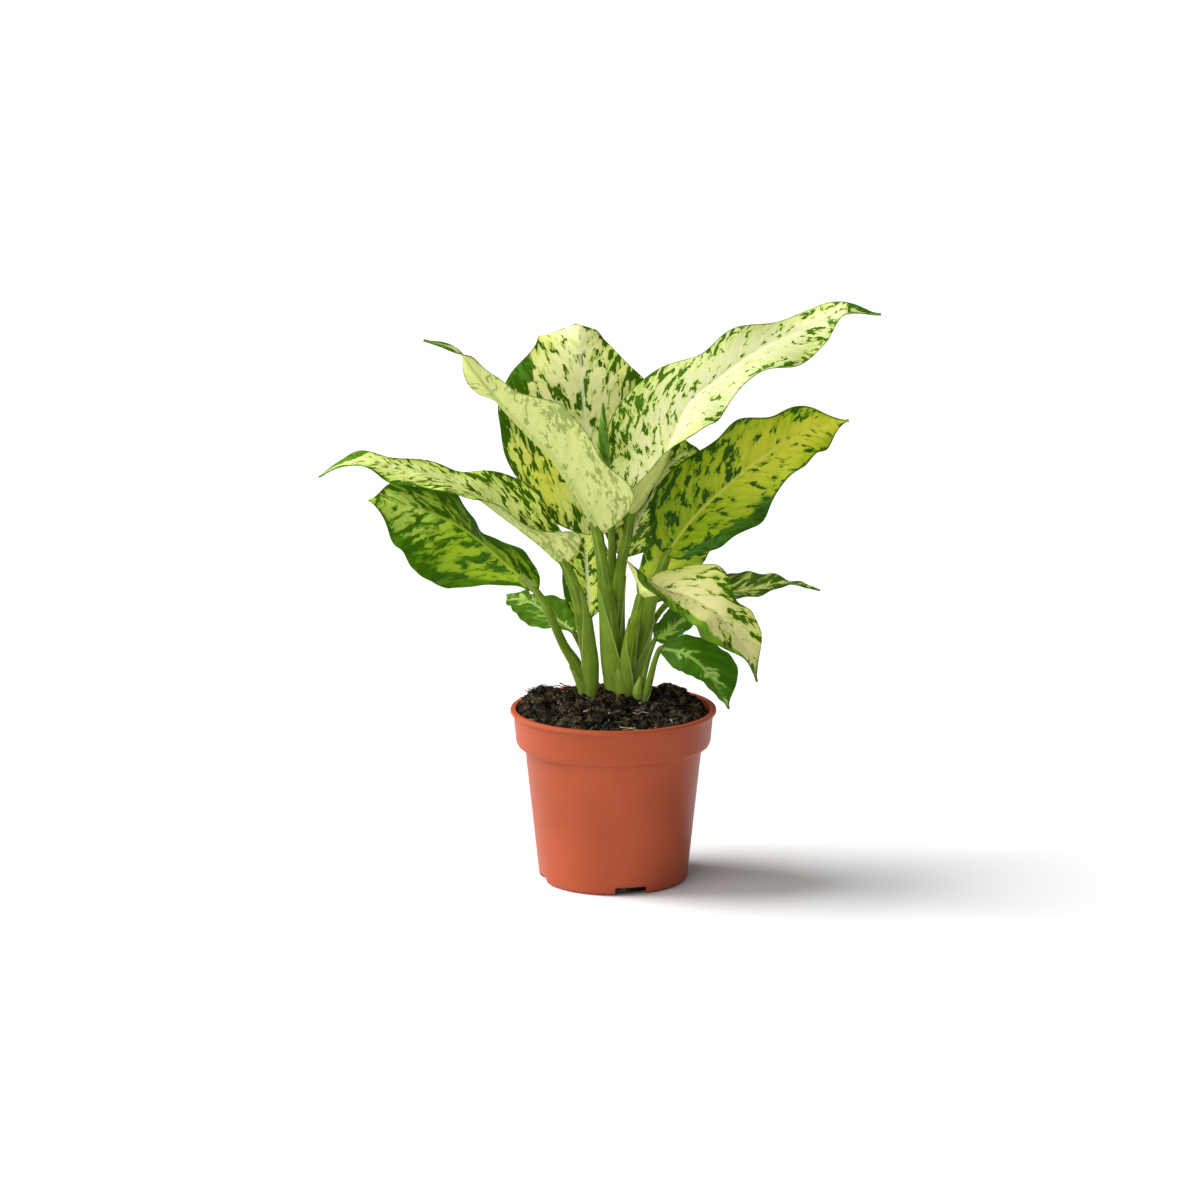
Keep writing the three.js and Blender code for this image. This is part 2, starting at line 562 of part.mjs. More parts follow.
function caneGeometry(cane, radius, foot, top) {
  const geometry = new THREE.CylinderGeometry(radius, radius, top - foot, 20).rotateX(Math.PI / 2);
  return geometry.translate(cane.x, cane.y, (top + foot) / 2);
}

function soilGeometry() {
  const relief = makeRelief();
  const wall = inside.filter((_, i) => [1, 2, 4, 5, 8, 9].includes(i)).reverse();
  const side = wall.map(([r, z]) => [Math.max(r - GAP, 0), z + GAP]);
  const rings = [50, 45, 40, 35, 30, 25, 20, 15, 10, 5, 0];
  const edge = COLLAR_TOP_RADIUS - WALL - GAP;
  side[side.length - 1] = [edge - 0.4, SOIL_LEVEL - 2];
  const geometry = turned([...side, ...rings.map((r) => [r, SOIL_LEVEL])]);
  const position = geometry.attributes.position;
  for (let i = 0; i < position.count; i++) {
    if (position.getZ(i) > SOIL_LEVEL - 0.01) {
      position.setZ(i, relief(position.getX(i), position.getY(i)));
    } else if (position.getZ(i) > SOIL_LEVEL - 2.01) {
      position.setZ(i, Math.min(relief(position.getX(i), position.getY(i)) - 0.8, POT_HEIGHT - 1));
    }
  }
  let soil = solidOf(geometry);
  const pocket = notchBlock(WALL + GAP, 0, NOTCH_HEIGHT + WALL + GAP, NOTCH_INNER_RADIUS - WALL - GAP);
  for (const angle of notchAngles) soil = soil.subtract(solidOf(turnedAbout(pocket, angle)));
  for (const cane of Object.values(CANES)) {
    soil = soil.subtract(solidOf(caneGeometry(cane, cane.radius + GAP + 0.02, CANE_FOOT - GAP, 120)));
  }
  return geometryOf(soil);
}

function shootGeometry(name) {
  const cane = CANES[name];
  const head = turned([
    [0, CANE_FOOT],
    [cane.radius, CANE_FOOT],
    [cane.radius, cane.top - 5],
    [cane.radius * 0.8, cane.top - 1.5],
    [0, cane.top],
  ], 20);
  let shoot = solidOf(head.rotateZ(Math.PI / 2).translate(cane.x, cane.y, 0));
  for (const leaf of LEAVES.filter((each) => each.shoot === name)) {
    const { point, forward, up } = ribFrame(leaf, 0);
    const end = point.addScaledVector(forward, -GAP - 0.05).addScaledVector(up, -1);
    shoot = shoot.add(solidOf(stalkGeometry([...leaf.stalk, end.toArray()], leaf.radii, forward)));
  }
  for (const sheath of SHEATHS.filter((each) => each.shoot === name)) {
    shoot = shoot.add(solidOf(stalkGeometry(sheath.path, sheath.radii)));
  }
  return geometryOf(shoot);
}

const plant = new THREE.Group();

function addPart(name, geometry, colour, roughness) {
  const material = new THREE.MeshStandardMaterial({ color: colour, roughness, metalness: 0 });
  const mesh = new THREE.Mesh(geometry, material);
  mesh.name = name;
  plant.add(mesh);
}

addPart('pot', potGeometry(), 0xb5603e, 0.5);
addPart('soil', soilGeometry(), 0x3a2a1c, 0.95);
addPart('shoot_centre', shootGeometry('shoot_centre'), 0x6f9636, 0.45);
addPart('shoot_left', shootGeometry('shoot_left'), 0x7b9c45, 0.45);
addPart('shoot_small', shootGeometry('shoot_small'), 0x6f9636, 0.45);
addPart('leaf_spear', stalkGeometry(SPEAR.path, SPEAR.radii), 0x36551f, 0.4);
for (const leaf of LEAVES) addPart(leaf.name, bladeGeometry(leaf), leaf.colour, 0.4);

export default plant;
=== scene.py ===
import math
import random

import bpy
import numpy as np
from mathutils import Matrix, Vector, noise


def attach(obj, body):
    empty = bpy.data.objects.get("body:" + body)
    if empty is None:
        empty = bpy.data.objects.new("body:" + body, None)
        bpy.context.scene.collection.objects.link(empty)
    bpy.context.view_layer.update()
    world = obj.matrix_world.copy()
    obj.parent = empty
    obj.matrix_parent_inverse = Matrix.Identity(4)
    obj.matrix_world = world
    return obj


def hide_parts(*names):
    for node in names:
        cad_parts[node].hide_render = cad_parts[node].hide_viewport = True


# A variegated dieffenbachia in a round nursery pot. Shapes are given in millimetres in the
# frame of the model: the origin is the pot's axis on the floor, and the front looks along -Y.

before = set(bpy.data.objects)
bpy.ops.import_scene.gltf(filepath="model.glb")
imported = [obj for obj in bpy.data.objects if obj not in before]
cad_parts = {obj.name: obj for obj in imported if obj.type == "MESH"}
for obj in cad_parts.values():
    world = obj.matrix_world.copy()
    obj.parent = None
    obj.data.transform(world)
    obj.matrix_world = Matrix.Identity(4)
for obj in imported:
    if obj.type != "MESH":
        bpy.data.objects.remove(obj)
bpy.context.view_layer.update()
MM = 0.001
MERGE_DISTANCE = 1e-6
scene = bpy.context.scene


# ---------------------------------------------------------------- modelling helpers

def select_only(*pieces):
    for each in bpy.context.selected_objects:
        each.select_set(False)
    for each in pieces:
        each.select_set(True)
    bpy.context.view_layer.objects.active = pieces[0]


def newest(name):
    """Names the piece that the last operator made."""
    piece = bpy.context.object
    piece.name = name
    piece.data.name = name
    return piece


def settle(piece):
    """Puts the piece's place into its mesh, as every finished piece has it."""
    select_only(piece)
    bpy.ops.object.transform_apply(location=True, rotation=True, scale=True)


def apply_modifier(piece, kind, **values):
    select_only(piece)
    modifier = piece.modifiers.new(kind.lower(), kind)
    for key, value in values.items():
        setattr(modifier, key, value)
    bpy.ops.object.modifier_apply(modifier=modifier.name)


def join(name, pieces):
    select_only(*pieces)
    bpy.ops.object.join()
    return newest(name)


def smooth(piece, angle):
    """Shades the piece smooth, apart from edges sharper than an angle in degrees."""
    select_only(piece)
    bpy.ops.object.shade_smooth_by_angle(angle=math.radians(angle))


def read_vectors(mesh, key):
    """The vertices' places ("co") or normals ("normal"), a row for each vertex."""
    flat = np.empty(len(mesh.vertices) * 3)
    mesh.vertices.foreach_get(key, flat)
    return flat.reshape(-1, 3)


def read_places(mesh):
    return read_vectors(mesh, "co")


def write_places(mesh, places):
    mesh.vertices.foreach_set("co", np.ascontiguousarray(places, dtype=float).ravel())
    mesh.update()


def turned(name, profile, steps):
    """Spins a profile of points (radius, height) in mm round the vertical axis."""
    bpy.ops.mesh.primitive_plane_add(size=MM)
    piece = newest(name)
    bpy.ops.object.mode_set(mode="EDIT")
    bpy.ops.mesh.select_all(action="SELECT")
    bpy.ops.mesh.merge(type="CENTER")
    bpy.ops.transform.translate(value=(profile[0][0] * MM, 0, profile[0][1] * MM))
    for (r0, z0), (r1, z1) in zip(profile, profile[1:]):
        shift = ((r1 - r0) * MM, 0, (z1 - z0) * MM)
        bpy.ops.mesh.extrude_vertices_move(TRANSFORM_OT_translate={"value": shift})
    bpy.ops.mesh.select_all(action="SELECT")
    bpy.ops.mesh.spin(steps=steps, angle=2 * math.pi, center=(0, 0, 0), axis=(0, 0, 1))
    bpy.ops.mesh.select_all(action="SELECT")
    bpy.ops.mesh.remove_doubles(threshold=MERGE_DISTANCE)
    bpy.ops.mesh.normals_make_consistent(inside=False)
    bpy.ops.object.mode_set(mode="OBJECT")
    return piece


def tube(name, path, radii, columns, rows, shape=None):
    """A round stalk through points in mm. Its radii are evenly spaced; shape(angle, t) swells it."""
    bpy.ops.mesh.primitive_grid_add(x_subdivisions=columns, y_subdivisions=rows, size=2)
    piece = newest(name)
    places = read_places(piece.data)
    for place in places:
        t = (place[1] + 1) / 2
        angle = math.pi * (place[0] + 1)
        centre, _, side, back = path_frame(path, t)
        radius = along(radii, t) * (shape(angle, t) if shape else 1)
        place[:] = centre + radius * (side * math.cos(angle) + back * math.sin(angle))
    write_places(piece.data, places * MM)
    select_only(piece)
    bpy.ops.object.mode_set(mode="EDIT")
    bpy.ops.mesh.select_all(action="SELECT")
    bpy.ops.mesh.remove_doubles(threshold=MERGE_DISTANCE)
    bpy.ops.mesh.fill_holes(sides=0)
    bpy.ops.mesh.normals_make_consistent(inside=False)
    bpy.ops.object.mode_set(mode="OBJECT")
    return piece


def path_frame(path, t):
    """The point of a path at t, its direction, and two directions across it: side and back."""
    forward = heading(path, t, 0.002)
    side = np.cross((0, 1, 0), forward)
    side /= np.linalg.norm(side)
    return along(path, t), forward, side, np.cross(forward, side)


def heading(path, t, reach):
    """The direction of a path at t, taken from a little before t to a little past it."""
    forward = along(path, min(t + reach, 1)) - along(path, max(t - reach, 0))
    return forward / np.linalg.norm(forward)


def along(values, t):
    """A smooth value at t from 0 to 1 through evenly spaced numbers or points."""
    values = np.asarray(values, float)
    last = len(values) - 1
    if last == 0:
        return values[0]
    place = min(max(t, 0.0), 1.0) * last
    i = min(int(place), last - 1)
    f = place - i
    b, c = values[i], values[i + 1]
    a = values[i - 1] if i > 0 else 2 * b - c
    d = values[i + 2] if i + 2 <= last else 2 * c - b
    cubic = 3 * b - a - 3 * c + d
    square = 2 * a - 5 * b + 4 * c - d
    return 0.5 * (2 * b + (c - a) * f + square * f ** 2 + cubic * f ** 3)


# ---------------------------------------------------------------- material helpers

class Finish:
    """A material whose nodes are written as nested calls."""

    def __init__(self, name):
        self.material = bpy.data.materials.new(name)
        self.material.use_nodes = True
        self.tree = self.material.node_tree
        self.tree.nodes.clear()
        self.output = self.tree.nodes.new("ShaderNodeOutputMaterial")

    def node(self, kind, inputs=None, **settings):
        """A new node. An input given as a node's output is linked to it, and any other is set."""
        made = self.tree.nodes.new(kind)
        for key, value in settings.items():
            setattr(made, key, value)
        for key, value in (inputs or {}).items():
            if isinstance(value, bpy.types.NodeSocket):
                self.tree.links.new(value, made.inputs[key])
            else:
                made.inputs[key].default_value = value
        return made

    def coordinates(self, which):
        return self.node("ShaderNodeTexCoord").outputs[which]

    def maths(self, operation, first, second=0.0, third=0.0):
        inputs = {0: first, 1: second, 2: third}
        return self.node("ShaderNodeMath", inputs, operation=operation).outputs[0]

    def swing(self, value, reach):
        """Turns a value from 0 to 1 into one from -reach to reach."""
        return self.maths("MULTIPLY_ADD", value, 2 * reach, -reach)

    def split(self, vector):
        return self.node("ShaderNodeSeparateXYZ", {0: vector}).outputs

    def merge(self, x, y, z):
        return self.node("ShaderNodeCombineXYZ", {0: x, 1: y, 2: z}).outputs[0]

    def step(self, value, low, high, to_low=0.0, to_high=1.0):
        """Rises softly from to_low to to_high while the value goes from low to high."""
        inputs = {0: value, 1: low, 2: high, 3: to_low, 4: to_high}
        return self.node("ShaderNodeMapRange", inputs, interpolation_type="SMOOTHSTEP").outputs[0]

    def grain(self, vector, scale, detail=2.0, roughness=0.5, distortion=0.0):
        inputs = {
            "Vector": vector, "Scale": scale, "Detail": detail, "Roughness": roughness,
            "Distortion": distortion,
        }
        return self.node("ShaderNodeTexNoise", inputs).outputs["Fac"]

    def mix(self, factor, first, second, blend="MIX"):
        inputs = {0: factor, 6: first, 7: second}
        return self.node("ShaderNodeMix", inputs, data_type="RGBA", blend_type=blend).outputs[2]

    def bump(self, height, distance, strength=1.0):
        inputs = {"Height": height, "Distance": distance, "Strength": strength}
        return self.node("ShaderNodeBump", inputs).outputs[0]

    def gloss(self, colour, roughness, bump=None, **sockets):
        inputs = {"Base Color": colour, "Roughness": roughness}
        for key, value in sockets.items():
            inputs[key.replace("_", " ")] = value
        if bump is not None:
            inputs["Normal"] = bump
        return self.node("ShaderNodeBsdfPrincipled", inputs).outputs[0]

    def lit_through(self, body, colour, tint, share):
        """Plant matter that lets a share of the light through, tinted."""
        glow = self.mix(1.0, colour, tint, "MULTIPLY")
        through = self.node("ShaderNodeBsdfTranslucent", {"Color": glow}).outputs[0]
        return self.node("ShaderNodeMixShader", {0: share, 1: body, 2: through}).outputs[0]

    def show(self, shader):
        self.tree.links.new(shader, self.output.inputs["Surface"])
        return self.material


def tone(red, green, blue):
    """A colour as the eye reads it, from 0 to 255, made linear."""
    linear = [
        c / 12.92 / 255 if c < 10.3 else ((c / 255 + 0.055) / 1.055) ** 2.4
        for c in (red, green, blue)
    ]
    return (*linear, 1.0)


def shade(colour, factor):
    """A linear colour made lighter or darker."""
    return (*[min(c * factor, 0.95) for c in colour[:3]], 1.0)


# ---------------------------------------------------------------- the leaves' form

# The share of its width that a blade has along its length, from base to tip.
OUTLINE = [0, 0.68, 0.91, 0.99, 1, 0.96, 0.88, 0.75, 0.53, 0.2, 0]

# The base is rounded over the share ROUND_BASE of the length. The midrib gets narrower and lower
# from the base to the tip, and is shaped as far as RIB_REACH from its middle. For its pattern a
# half is at least NARROWEST wide. A blade that spans more than LARGE_LEAF has a finer grid.
ROUND_BASE = 0.1
RIB_HALF_WIDTH = 2.1
RIB_TIP_HALF_WIDTH = 0.45
RIB_DEPTH = 2.5
RIB_TIP_DEPTH = 0.35
RIB_REACH = 6
BLADE_THICKNESS = 0.62
NARROWEST = 2.5
LARGE_LEAF = 60

# The side veins: how far apart they leave the midrib, how steeply they run towards the tip on
# their way out, and how much more steeply for each further millimetre.
VEIN_SPACING = 6.5
VEIN_SLOPE = 0.8
VEIN_CURVE = 0.006

LOBE = 0.3
QUILT = 0.11
NO_NECK = (0.5, 1, 0)

# Each blade, from its base to its tip. The entries of a list are evenly spaced along the blade,
# and a pair gives its left half, then its right half, as seen on its face with the tip up.
# rib: points of the midrib. face: the direction that the upper face looks in.
# widths: how wide the half is before OUTLINE narrows it. folds: how far the half is folded up
# from flat, in degrees. waves: the height, count and phase of the waves of the half's edge.
# lobe: how far the half reaches back past the base, as a share of its width.
# neck: where along the blade it is pinched, how long the pinch is, and how deep.
# quilt: how far the blade rises between its side veins.
LEAVES = {
    "leaf_top_right": dict(
        rib=[
            (9.5, 14, 214), (19, 16, 228), (27.5, 18, 242), (35, 21, 260), (44.5, 24, 277.5),
            (61, 26, 291.5), (79, 28, 304.5), (98.5, 30, 315), (118, 32, 322), (135.5, 33, 328.5),
            (155, 34, 328),
        ],
        face=[(-0.45, -0.6, 0.5), (-0.32, -0.8, 0.5), (-0.25, -0.8, 0.55)],
        widths=([38, 40, 41, 38, 30, 20, 22, 14, 22, 37, 15], [28, 28, 30, 27, 26, 19, 17, 27, 25, 6, 8]),
        folds=([8, 12, 10, 5, 0], [85, 75, 62, 42, 22, 12, 8, 5, 5, 5, 5]),
        waves=((2.5, 3, 0.35), (2.5, 3, 0.5)),
    ),
    "leaf_right": dict(
        rib=[(31, 14, 190), (46, 18, 210), (65, 22, 228), (88, 26, 246), (113, 30, 260), (137, 32, 266)],
        face=[(-0.4, -0.8, 0.45), (-0.3, -0.85, 0.4), (-0.3, -0.75, 0.5)],
        widths=([36, 29, 30, 29, 27, 26, 30, 23, 31, 37, 20], [36, 26, 33, 31, 33, 28, 25, 28, 29, 48, 20]),
        folds=([15, 15, 10], [15, 8, 5]),
        waves=((2.5, 2.5, 0.6), (2.5, 2.5, 0.6)),
    ),
    "leaf_back": dict(
        rib=[(-8, 28, 199), (-12, 34, 231), (-16, 40, 262), (-19, 48, 293), (-21, 62, 317), (-23, 84, 308)],
        face=[(0.2, -0.9, 0.35), (0.25, -0.85, 0.4), (0.1, -0.5, 0.85)],
        widths=([40, 46, 46, 52, 54, 54, 47, 34, 38, 34, 25], [36, 40, 42, 44, 45, 44, 35, 26, 25, 24, 20]),
        folds=([10, 10, 8, 8, 5, 2, 0, -10, -30, -25, -15], [15, 13, 11, 10, 6, 2, 0, -5, -10, -15, -15]),
        waves=((2.5, 3, 0), (2.5, 3, 0.5)),
    ),
    "leaf_centre_back": dict(
        rib=[(5, 28, 186), (16, 34, 209), (27, 40, 230), (40, 46, 243), (52, 54, 243)],
        face=[(-0.2, -0.85, 0.45)],
        widths=([22], [18, 20, 22, 22]),
        folds=([10, 10, 5], [10, 10, 5]),
        waves=((1.5, 2, 0.2), (1.5, 2, 0.5)),
    ),
    "leaf_top_left": dict(
        rib=[
            (-9, 2, 205.5), (-16, -3, 222), (-25, -8, 238), (-34, -14, 252), (-44, -20, 263.5),
            (-54, -26, 274.5), (-63, -31, 285), (-71.5, -35, 296), (-80, -38, 307.5),
            (-88.5, -40, 319.5), (-107.5, -42, 325.5),
        ],
        face=[
            (0.7, 0.6, 0.4), (0.7, 0.6, 0.4), (0.7, 0.6, 0.4), (0.7, 0.6, 0.4), (0.65, 0.65, 0.4),
            (0.6, 0.7, 0.4), (0.5, 0.7, 0.4), (0.4, 0.8, 0.5), (0.3, 0.6, 0.7), (-0.15, -0.6, 0.8),
            (-0.3, -0.8, 0.6),
        ],
        widths=([46, 43, 28, 26, 26, 25, 17, 13, 12, 28, 26], [34, 30, 28, 26, 24, 22, 20, 14, 14, 22, 26]),
        folds=([37, 37, 25], [45, 45, 45, 50, 55, 55, 40, 0, -20, -10, 0]),
        waves=((2, 2.5, 0.2), (1.5, 2.5, 0.5)),
        neck=(0.86, 0.05, 0.55),
    ),
    "leaf_left": dict(
        rib=[
            (-27.5, 4, 187), (-40, 2, 198.5), (-52.5, 0, 208.5), (-65.5, -2, 218.5), (-78.5, -4, 228.5),
            (-93.5, -5, 235.5), (-108.5, -6, 241.5), (-124, -7, 246), (-139.5, -8, 249.5),
            (-154.5, -9, 248.5), (-169.5, -10, 240.5),
        ],
        face=[(0.45, -0.1, 0.88), (0.45, -0.1, 0.88), (0.1, -0.2, 0.95)],
        widths=([30, 38, 15, 20, 23, 25, 18, 27, 24, 20, 15], [26, 20, 25, 26, 20, 12, 14, 8, 16, 36, 20]),
        folds=([72, 55, 28, 25, 10, 4, -5, -10, -8, 0, 0], [55, 54, 50, 42, 34, 30, 26, 20, 15, 12, 10]),
        waves=((1, 2.5, 0.2), (1, 2.5, 0.5)),
        lobe=0.6,
    ),
    "leaf_lower_left": dict(
        rib=[
            (-44, 0, 171), (-54, -4, 181), (-64.5, -8, 191.5), (-75, -12, 202), (-86.5, -15.5, 211.5),
            (-99, -19, 219), (-112, -22.5, 224.7), (-126, -26, 228.6), (-140, -30, 231),
        ],
        face=[(0.2, -0.65, 0.75)],
        widths=([8, 8, 17, 27, 34, 38, 42, 46, 50, 76, 40], [36, 29, 23, 21, 22, 29, 33, 32, 33, 70, 40]),
        folds=([-60, -55, -38, -28, -25, -22, -20], [-5, -10, -15, -35, -35, -22, -12, -10, -12, -15, -15]),
        waves=((1, 2, 0.2), (1, 2, 0.5)),
    ),
    "leaf_low_back_left": dict(
        rib=[(-23, 18, 143), (-36, 30, 150), (-50, 42, 156), (-63, 52, 158)],
        face=[(0.2, -0.5, 0.85)],
        widths=([8, 6, 10, 13, 15, 16, 16, 17, 18, 33, 25], [12, 12, 13, 15, 17, 18, 15, 15, 18, 43, 25]),
        folds=([0, -5, 0], [0, -5, 0]),
        waves=((1, 1.5, 0.2), (1, 1.5, 0.5)),
    ),
    "leaf_mid_back": dict(
        rib=[(-14, 36, 147), (-15, 41, 166), (-16, 46, 186), (-15, 52, 206)],
        face=[(0, -0.9, 0.3)],
        widths=([17, 15, 15, 15, 15], [8, 14, 16, 16, 16]),
        folds=([15, 10, 0], [15, 10, 0]),
        waves=((1, 1.5, 0.2), (1, 1.5, 0.5)),
    ),
    "leaf_front_right": dict(
        rib=[
            (16, -2, 171), (23, -8, 173), (30.5, -12, 174), (38, -18, 174), (45.5, -24, 172.5),
            (52.5, -29, 169.5), (60, -34, 165.5), (66.5, -38, 159), (73, -42, 151), (78.5, -46, 141),
            (82, -50, 129),
        ],
        face=[(-0.1, -0.5, 0.84), (0.2, -0.5, 0.84), (0.6, -0.5, 0.6)],
        widths=([22, 16, 19, 24, 26, 24, 18, 24, 27, 30, 20], [40, 38, 33, 24, 20, 19, 25, 32, 28, 14, 15]),
        folds=([20, 15, 10], [115, 88, 52, 26, 10, 5, 5, 0, 0, 0, 0]),
        waves=((1.5, 2.5, 0.2), (1.5, 2.5, 0.5)),
        lobe=0.5, quilt=0.04,
    ),
    "leaf_mid_right": dict(
        rib=[(17, 32, 156), (24, 37, 173), (34, 43, 191), (46, 49, 206), (58, 54, 220)],
        face=[(-0.2, -0.85, 0.45)],
        widths=([9, 10, 14, 18, 20], [16, 24, 27, 28]),
        folds=([15, 10, 5], [15, 10, 5]),
        waves=((1.5, 2, 0.2), (1.5, 2, 0.5)),
        lobe=0.1,
    ),
    "leaf_low_right": dict(
        rib=[(32, 23, 160), (53, 20, 164), (77, 16, 168), (100, 12, 173.5), (120, 8, 170)],
        face=[(-0.1, -0.25, 0.96)],
        widths=([11, 12, 14, 18, 22, 20, 16, 13, 6, 16, 10], [20, 20, 20, 20, 20, 20, 20, 17, 6, 18, 10]),
        folds=([0, 5, 5], [15, 15, 10]),
        waves=((1, 2, 0.2), (1, 2, 0.5)),
    ),
    "leaf_low_front_right": dict(
        rib=[(27, 2, 137), (42, -6, 135), (55, -12, 125), (67, -16, 105)],
        face=[(0.1, -0.85, 0.5), (0.3, -0.8, 0.5), (0.5, -0.7, 0.4)],
        widths=([10, 9, 12, 14, 16, 18, 21, 26, 32, 43, 25], [10, 8, 10, 11, 11, 11, 10, 8, 8, 9, 8]),
        folds=([0, -5, 0], [0, -5, 0]),
        waves=((1, 1.5, 0.2), (1, 1.5, 0.5)),
        lobe=0.1,
    ),
    "leaf_small_right": dict(
        rib=[(24, 12, 140), (32, 12.5, 144.5), (41, 13.5, 152), (51, 15, 161.5)],
        face=[(-0.3, -0.75, 0.55)],
        widths=([9, 10, 9, 9, 10, 11, 12, 13, 14, 14, 14], [7, 7, 7, 7, 8, 9, 10, 11, 11, 11, 11]),
        folds=([5, 5, 5], [10, 10, 5]),
        waves=((1, 1.5, 0.2), (1, 1.5, 0.5)),
        lobe=0.1,
    ),
}


def rib_frame(leaf, t):
    """The midrib's point at t, its direction, the way the face looks there, and the blade's right."""
    forward = heading(leaf["rib"], t, 0.001)
    up = along(leaf["face"], t)
    up = up - (up @ forward) * forward
    up /= np.linalg.norm(up)
    return along(leaf["rib"], t), forward, up, np.cross(forward, up)


def rib_half_width(t):
    return RIB_HALF_WIDTH + (RIB_TIP_HALF_WIDTH - RIB_HALF_WIDTH) * t ** 0.7


def rib_length(leaf):
    rib = np.array([along(leaf["rib"], k) for k in np.linspace(0, 1, 60)])
    return np.linalg.norm(np.diff(rib, axis=0), axis=1).sum()


def half_width(leaf, half, t):
    """The blade's width on one side of the midrib; its base is round."""
    share = max(along(OUTLINE, t), 0) if t > ROUND_BASE else OUTLINE[1] * (t / ROUND_BASE) ** 0.72
    place, reach, depth = leaf.get("neck", NO_NECK)
    share *= 1 - depth * math.exp(-((t - place) / reach) ** 2)
    return share * along(leaf["widths"][half], t)


def blade_row(leaf, t, s, ripple):
    """Points of the middle surface across the blade at t, for shares s from -1 to 1.

    Waves lift each half towards its edge, and its ripple adds finer ones close to the edge. Both
    fade out at the base and at the tip.
    """
    point, forward, up, right = rib_frame(leaf, t)
    row = np.zeros((len(s), 3))
    for half, side in ((0, -1), (1, 1)):
        here = s < 0 if side < 0 else s >= 0
        u = np.abs(s[here])
        fold = math.radians(along(leaf["folds"][half], t))
        height, count, phase = leaf["waves"][half]
        fade = min(1, t / 0.12, (1 - t) / 0.1)
        swing = fade * math.sin(2 * math.pi * (count * t + phase))
        fine_height, fine_count, fine_phase = ripple[half]
        fine = fade * fine_height * math.sin(2 * math.pi * (fine_count * t + fine_phase))
        drawn = half_width(leaf, half, t)
        width = max(drawn, (rib_half_width(t) + 0.4) * min(1, 0.4 + t / 0.04))
        back = leaf.get("lobe", LOBE) * max(0, 1 - t / 0.3) ** 2 * drawn * u ** 2
        lift = height * u ** 2 * swing + fine * u ** 4
        out = side * (width * u * math.cos(fold) - lift * math.sin(fold))
        rise = width * u * math.sin(fold) + lift * math.cos(fold)
        row[here] = point + np.outer(out, right) + np.outer(rise, up) - np.outer(back, forward)
    return row


def lateral(leaf, t, s):
    """Distances from the midrib in mm, negative on the left half."""
    left = np.array([half_width(leaf, 0, k) for k in t])
    right = np.array([half_width(leaf, 1, k) for k in t])
    return s * np.maximum(np.where(s < 0, left, right), NARROWEST)


def ramp(values, reach):
    """Rises from 0 to 1 as the values go from 0 to reach."""
    return np.clip(values / reach, 0, 1)


def shape_blade(mesh, leaf, t, s, aside, order):
    """The middle surface, which sinks along the midrib and rises between the side veins."""
    draw = random.Random(100 + order)
    ripple = [(0.7 * draw.uniform(0.6, 1.2), draw.uniform(6, 8), draw.random()) for _ in range(2)]
    stations, which = np.unique(t, return_inverse=True)
    middle = np.zeros((len(s), 3))
    for i, station in enumerate(stations):
        here = which == i
        middle[here] = blade_row(leaf, station, s[here], ripple)
    write_places(mesh, middle * MM)

    groove = -0.45 * np.exp(-(aside / 1.5) ** 2) * (1 - t)
    vein = t * rib_length(leaf) - VEIN_SLOPE * np.abs(aside) - VEIN_CURVE * aside ** 2
    quilt = leaf.get("quilt", QUILT) * np.sin(2 * np.pi * vein / VEIN_SPACING)
    quilt *= ramp(np.abs(aside), 6)
    quilt *= ramp(1 - np.abs(s), 0.15) * ramp(t, 0.1) * ramp(1 - t, 0.1)
    normals = read_vectors(mesh, "normal")
    write_places(mesh, (middle + normals * (groove + quilt)[:, None]) * MM)


def mark_blade(mesh, leaf, t, s, aside):
    """Gives the blade the coordinates of its pattern.

    The UV map runs across and along the blade, 100 mm to a unit. The attributes edge and tip are
    shares of the way to them, and rim is the distance to the edge in mm.
    """
    corners = np.empty(len(mesh.loops), dtype=int)
    mesh.loops.foreach_get("vertex_index", corners)
    upward = t[corners] * rib_length(leaf) / 100
    places = np.stack([aside[corners] / 100 + 0.5, upward], axis=1)
    mesh.uv_layers[0].data.foreach_set("uv", places.ravel())
    widths = np.abs(lateral(leaf, t, np.sign(s) + (s == 0)))
    for key, values in (("edge", np.abs(s)), ("tip", t), ("rim", widths * (1 - np.abs(s)))):
        mesh.attributes.new(key, "FLOAT", "POINT").data.foreach_set("value", values)


def add_underside(piece, t, s, aside, stout):
    """A second skin below, thinner at the edge, with the midrib standing out of it."""
    mesh = piece.data
    thickness = piece.vertex_groups.new(name="thickness")
    for share in range(0, 11):
        chosen = np.where(np.round(np.abs(s) * 10).astype(int) == share)[0].tolist()
        thickness.add(chosen, 1 - 0.045 * share, "REPLACE")
    apply_modifier(
        piece, "SOLIDIFY", thickness=BLADE_THICKNESS * MM, offset=0, vertex_group="thickness",
        material_offset=1, material_offset_rim=0,
    )
    below = {v for face in mesh.polygons if face.material_index == 1 for v in face.vertices}
    normals = read_vectors(mesh, "normal")
    places = read_places(mesh)
    for v in below:
        k = v % len(s)
        if abs(aside[k]) < RIB_REACH:
            depth = RIB_DEPTH * (1 - t[k] ** 0.6) + RIB_TIP_DEPTH
            depth = stout * depth * min(1, 0.3 + t[k] / 0.04)
            spread = rib_half_width(t[k]) * stout * 0.75
            places[v] += normals[v] * depth * math.exp(-(aside[k] / spread) ** 2) * MM
    write_places(mesh, places)


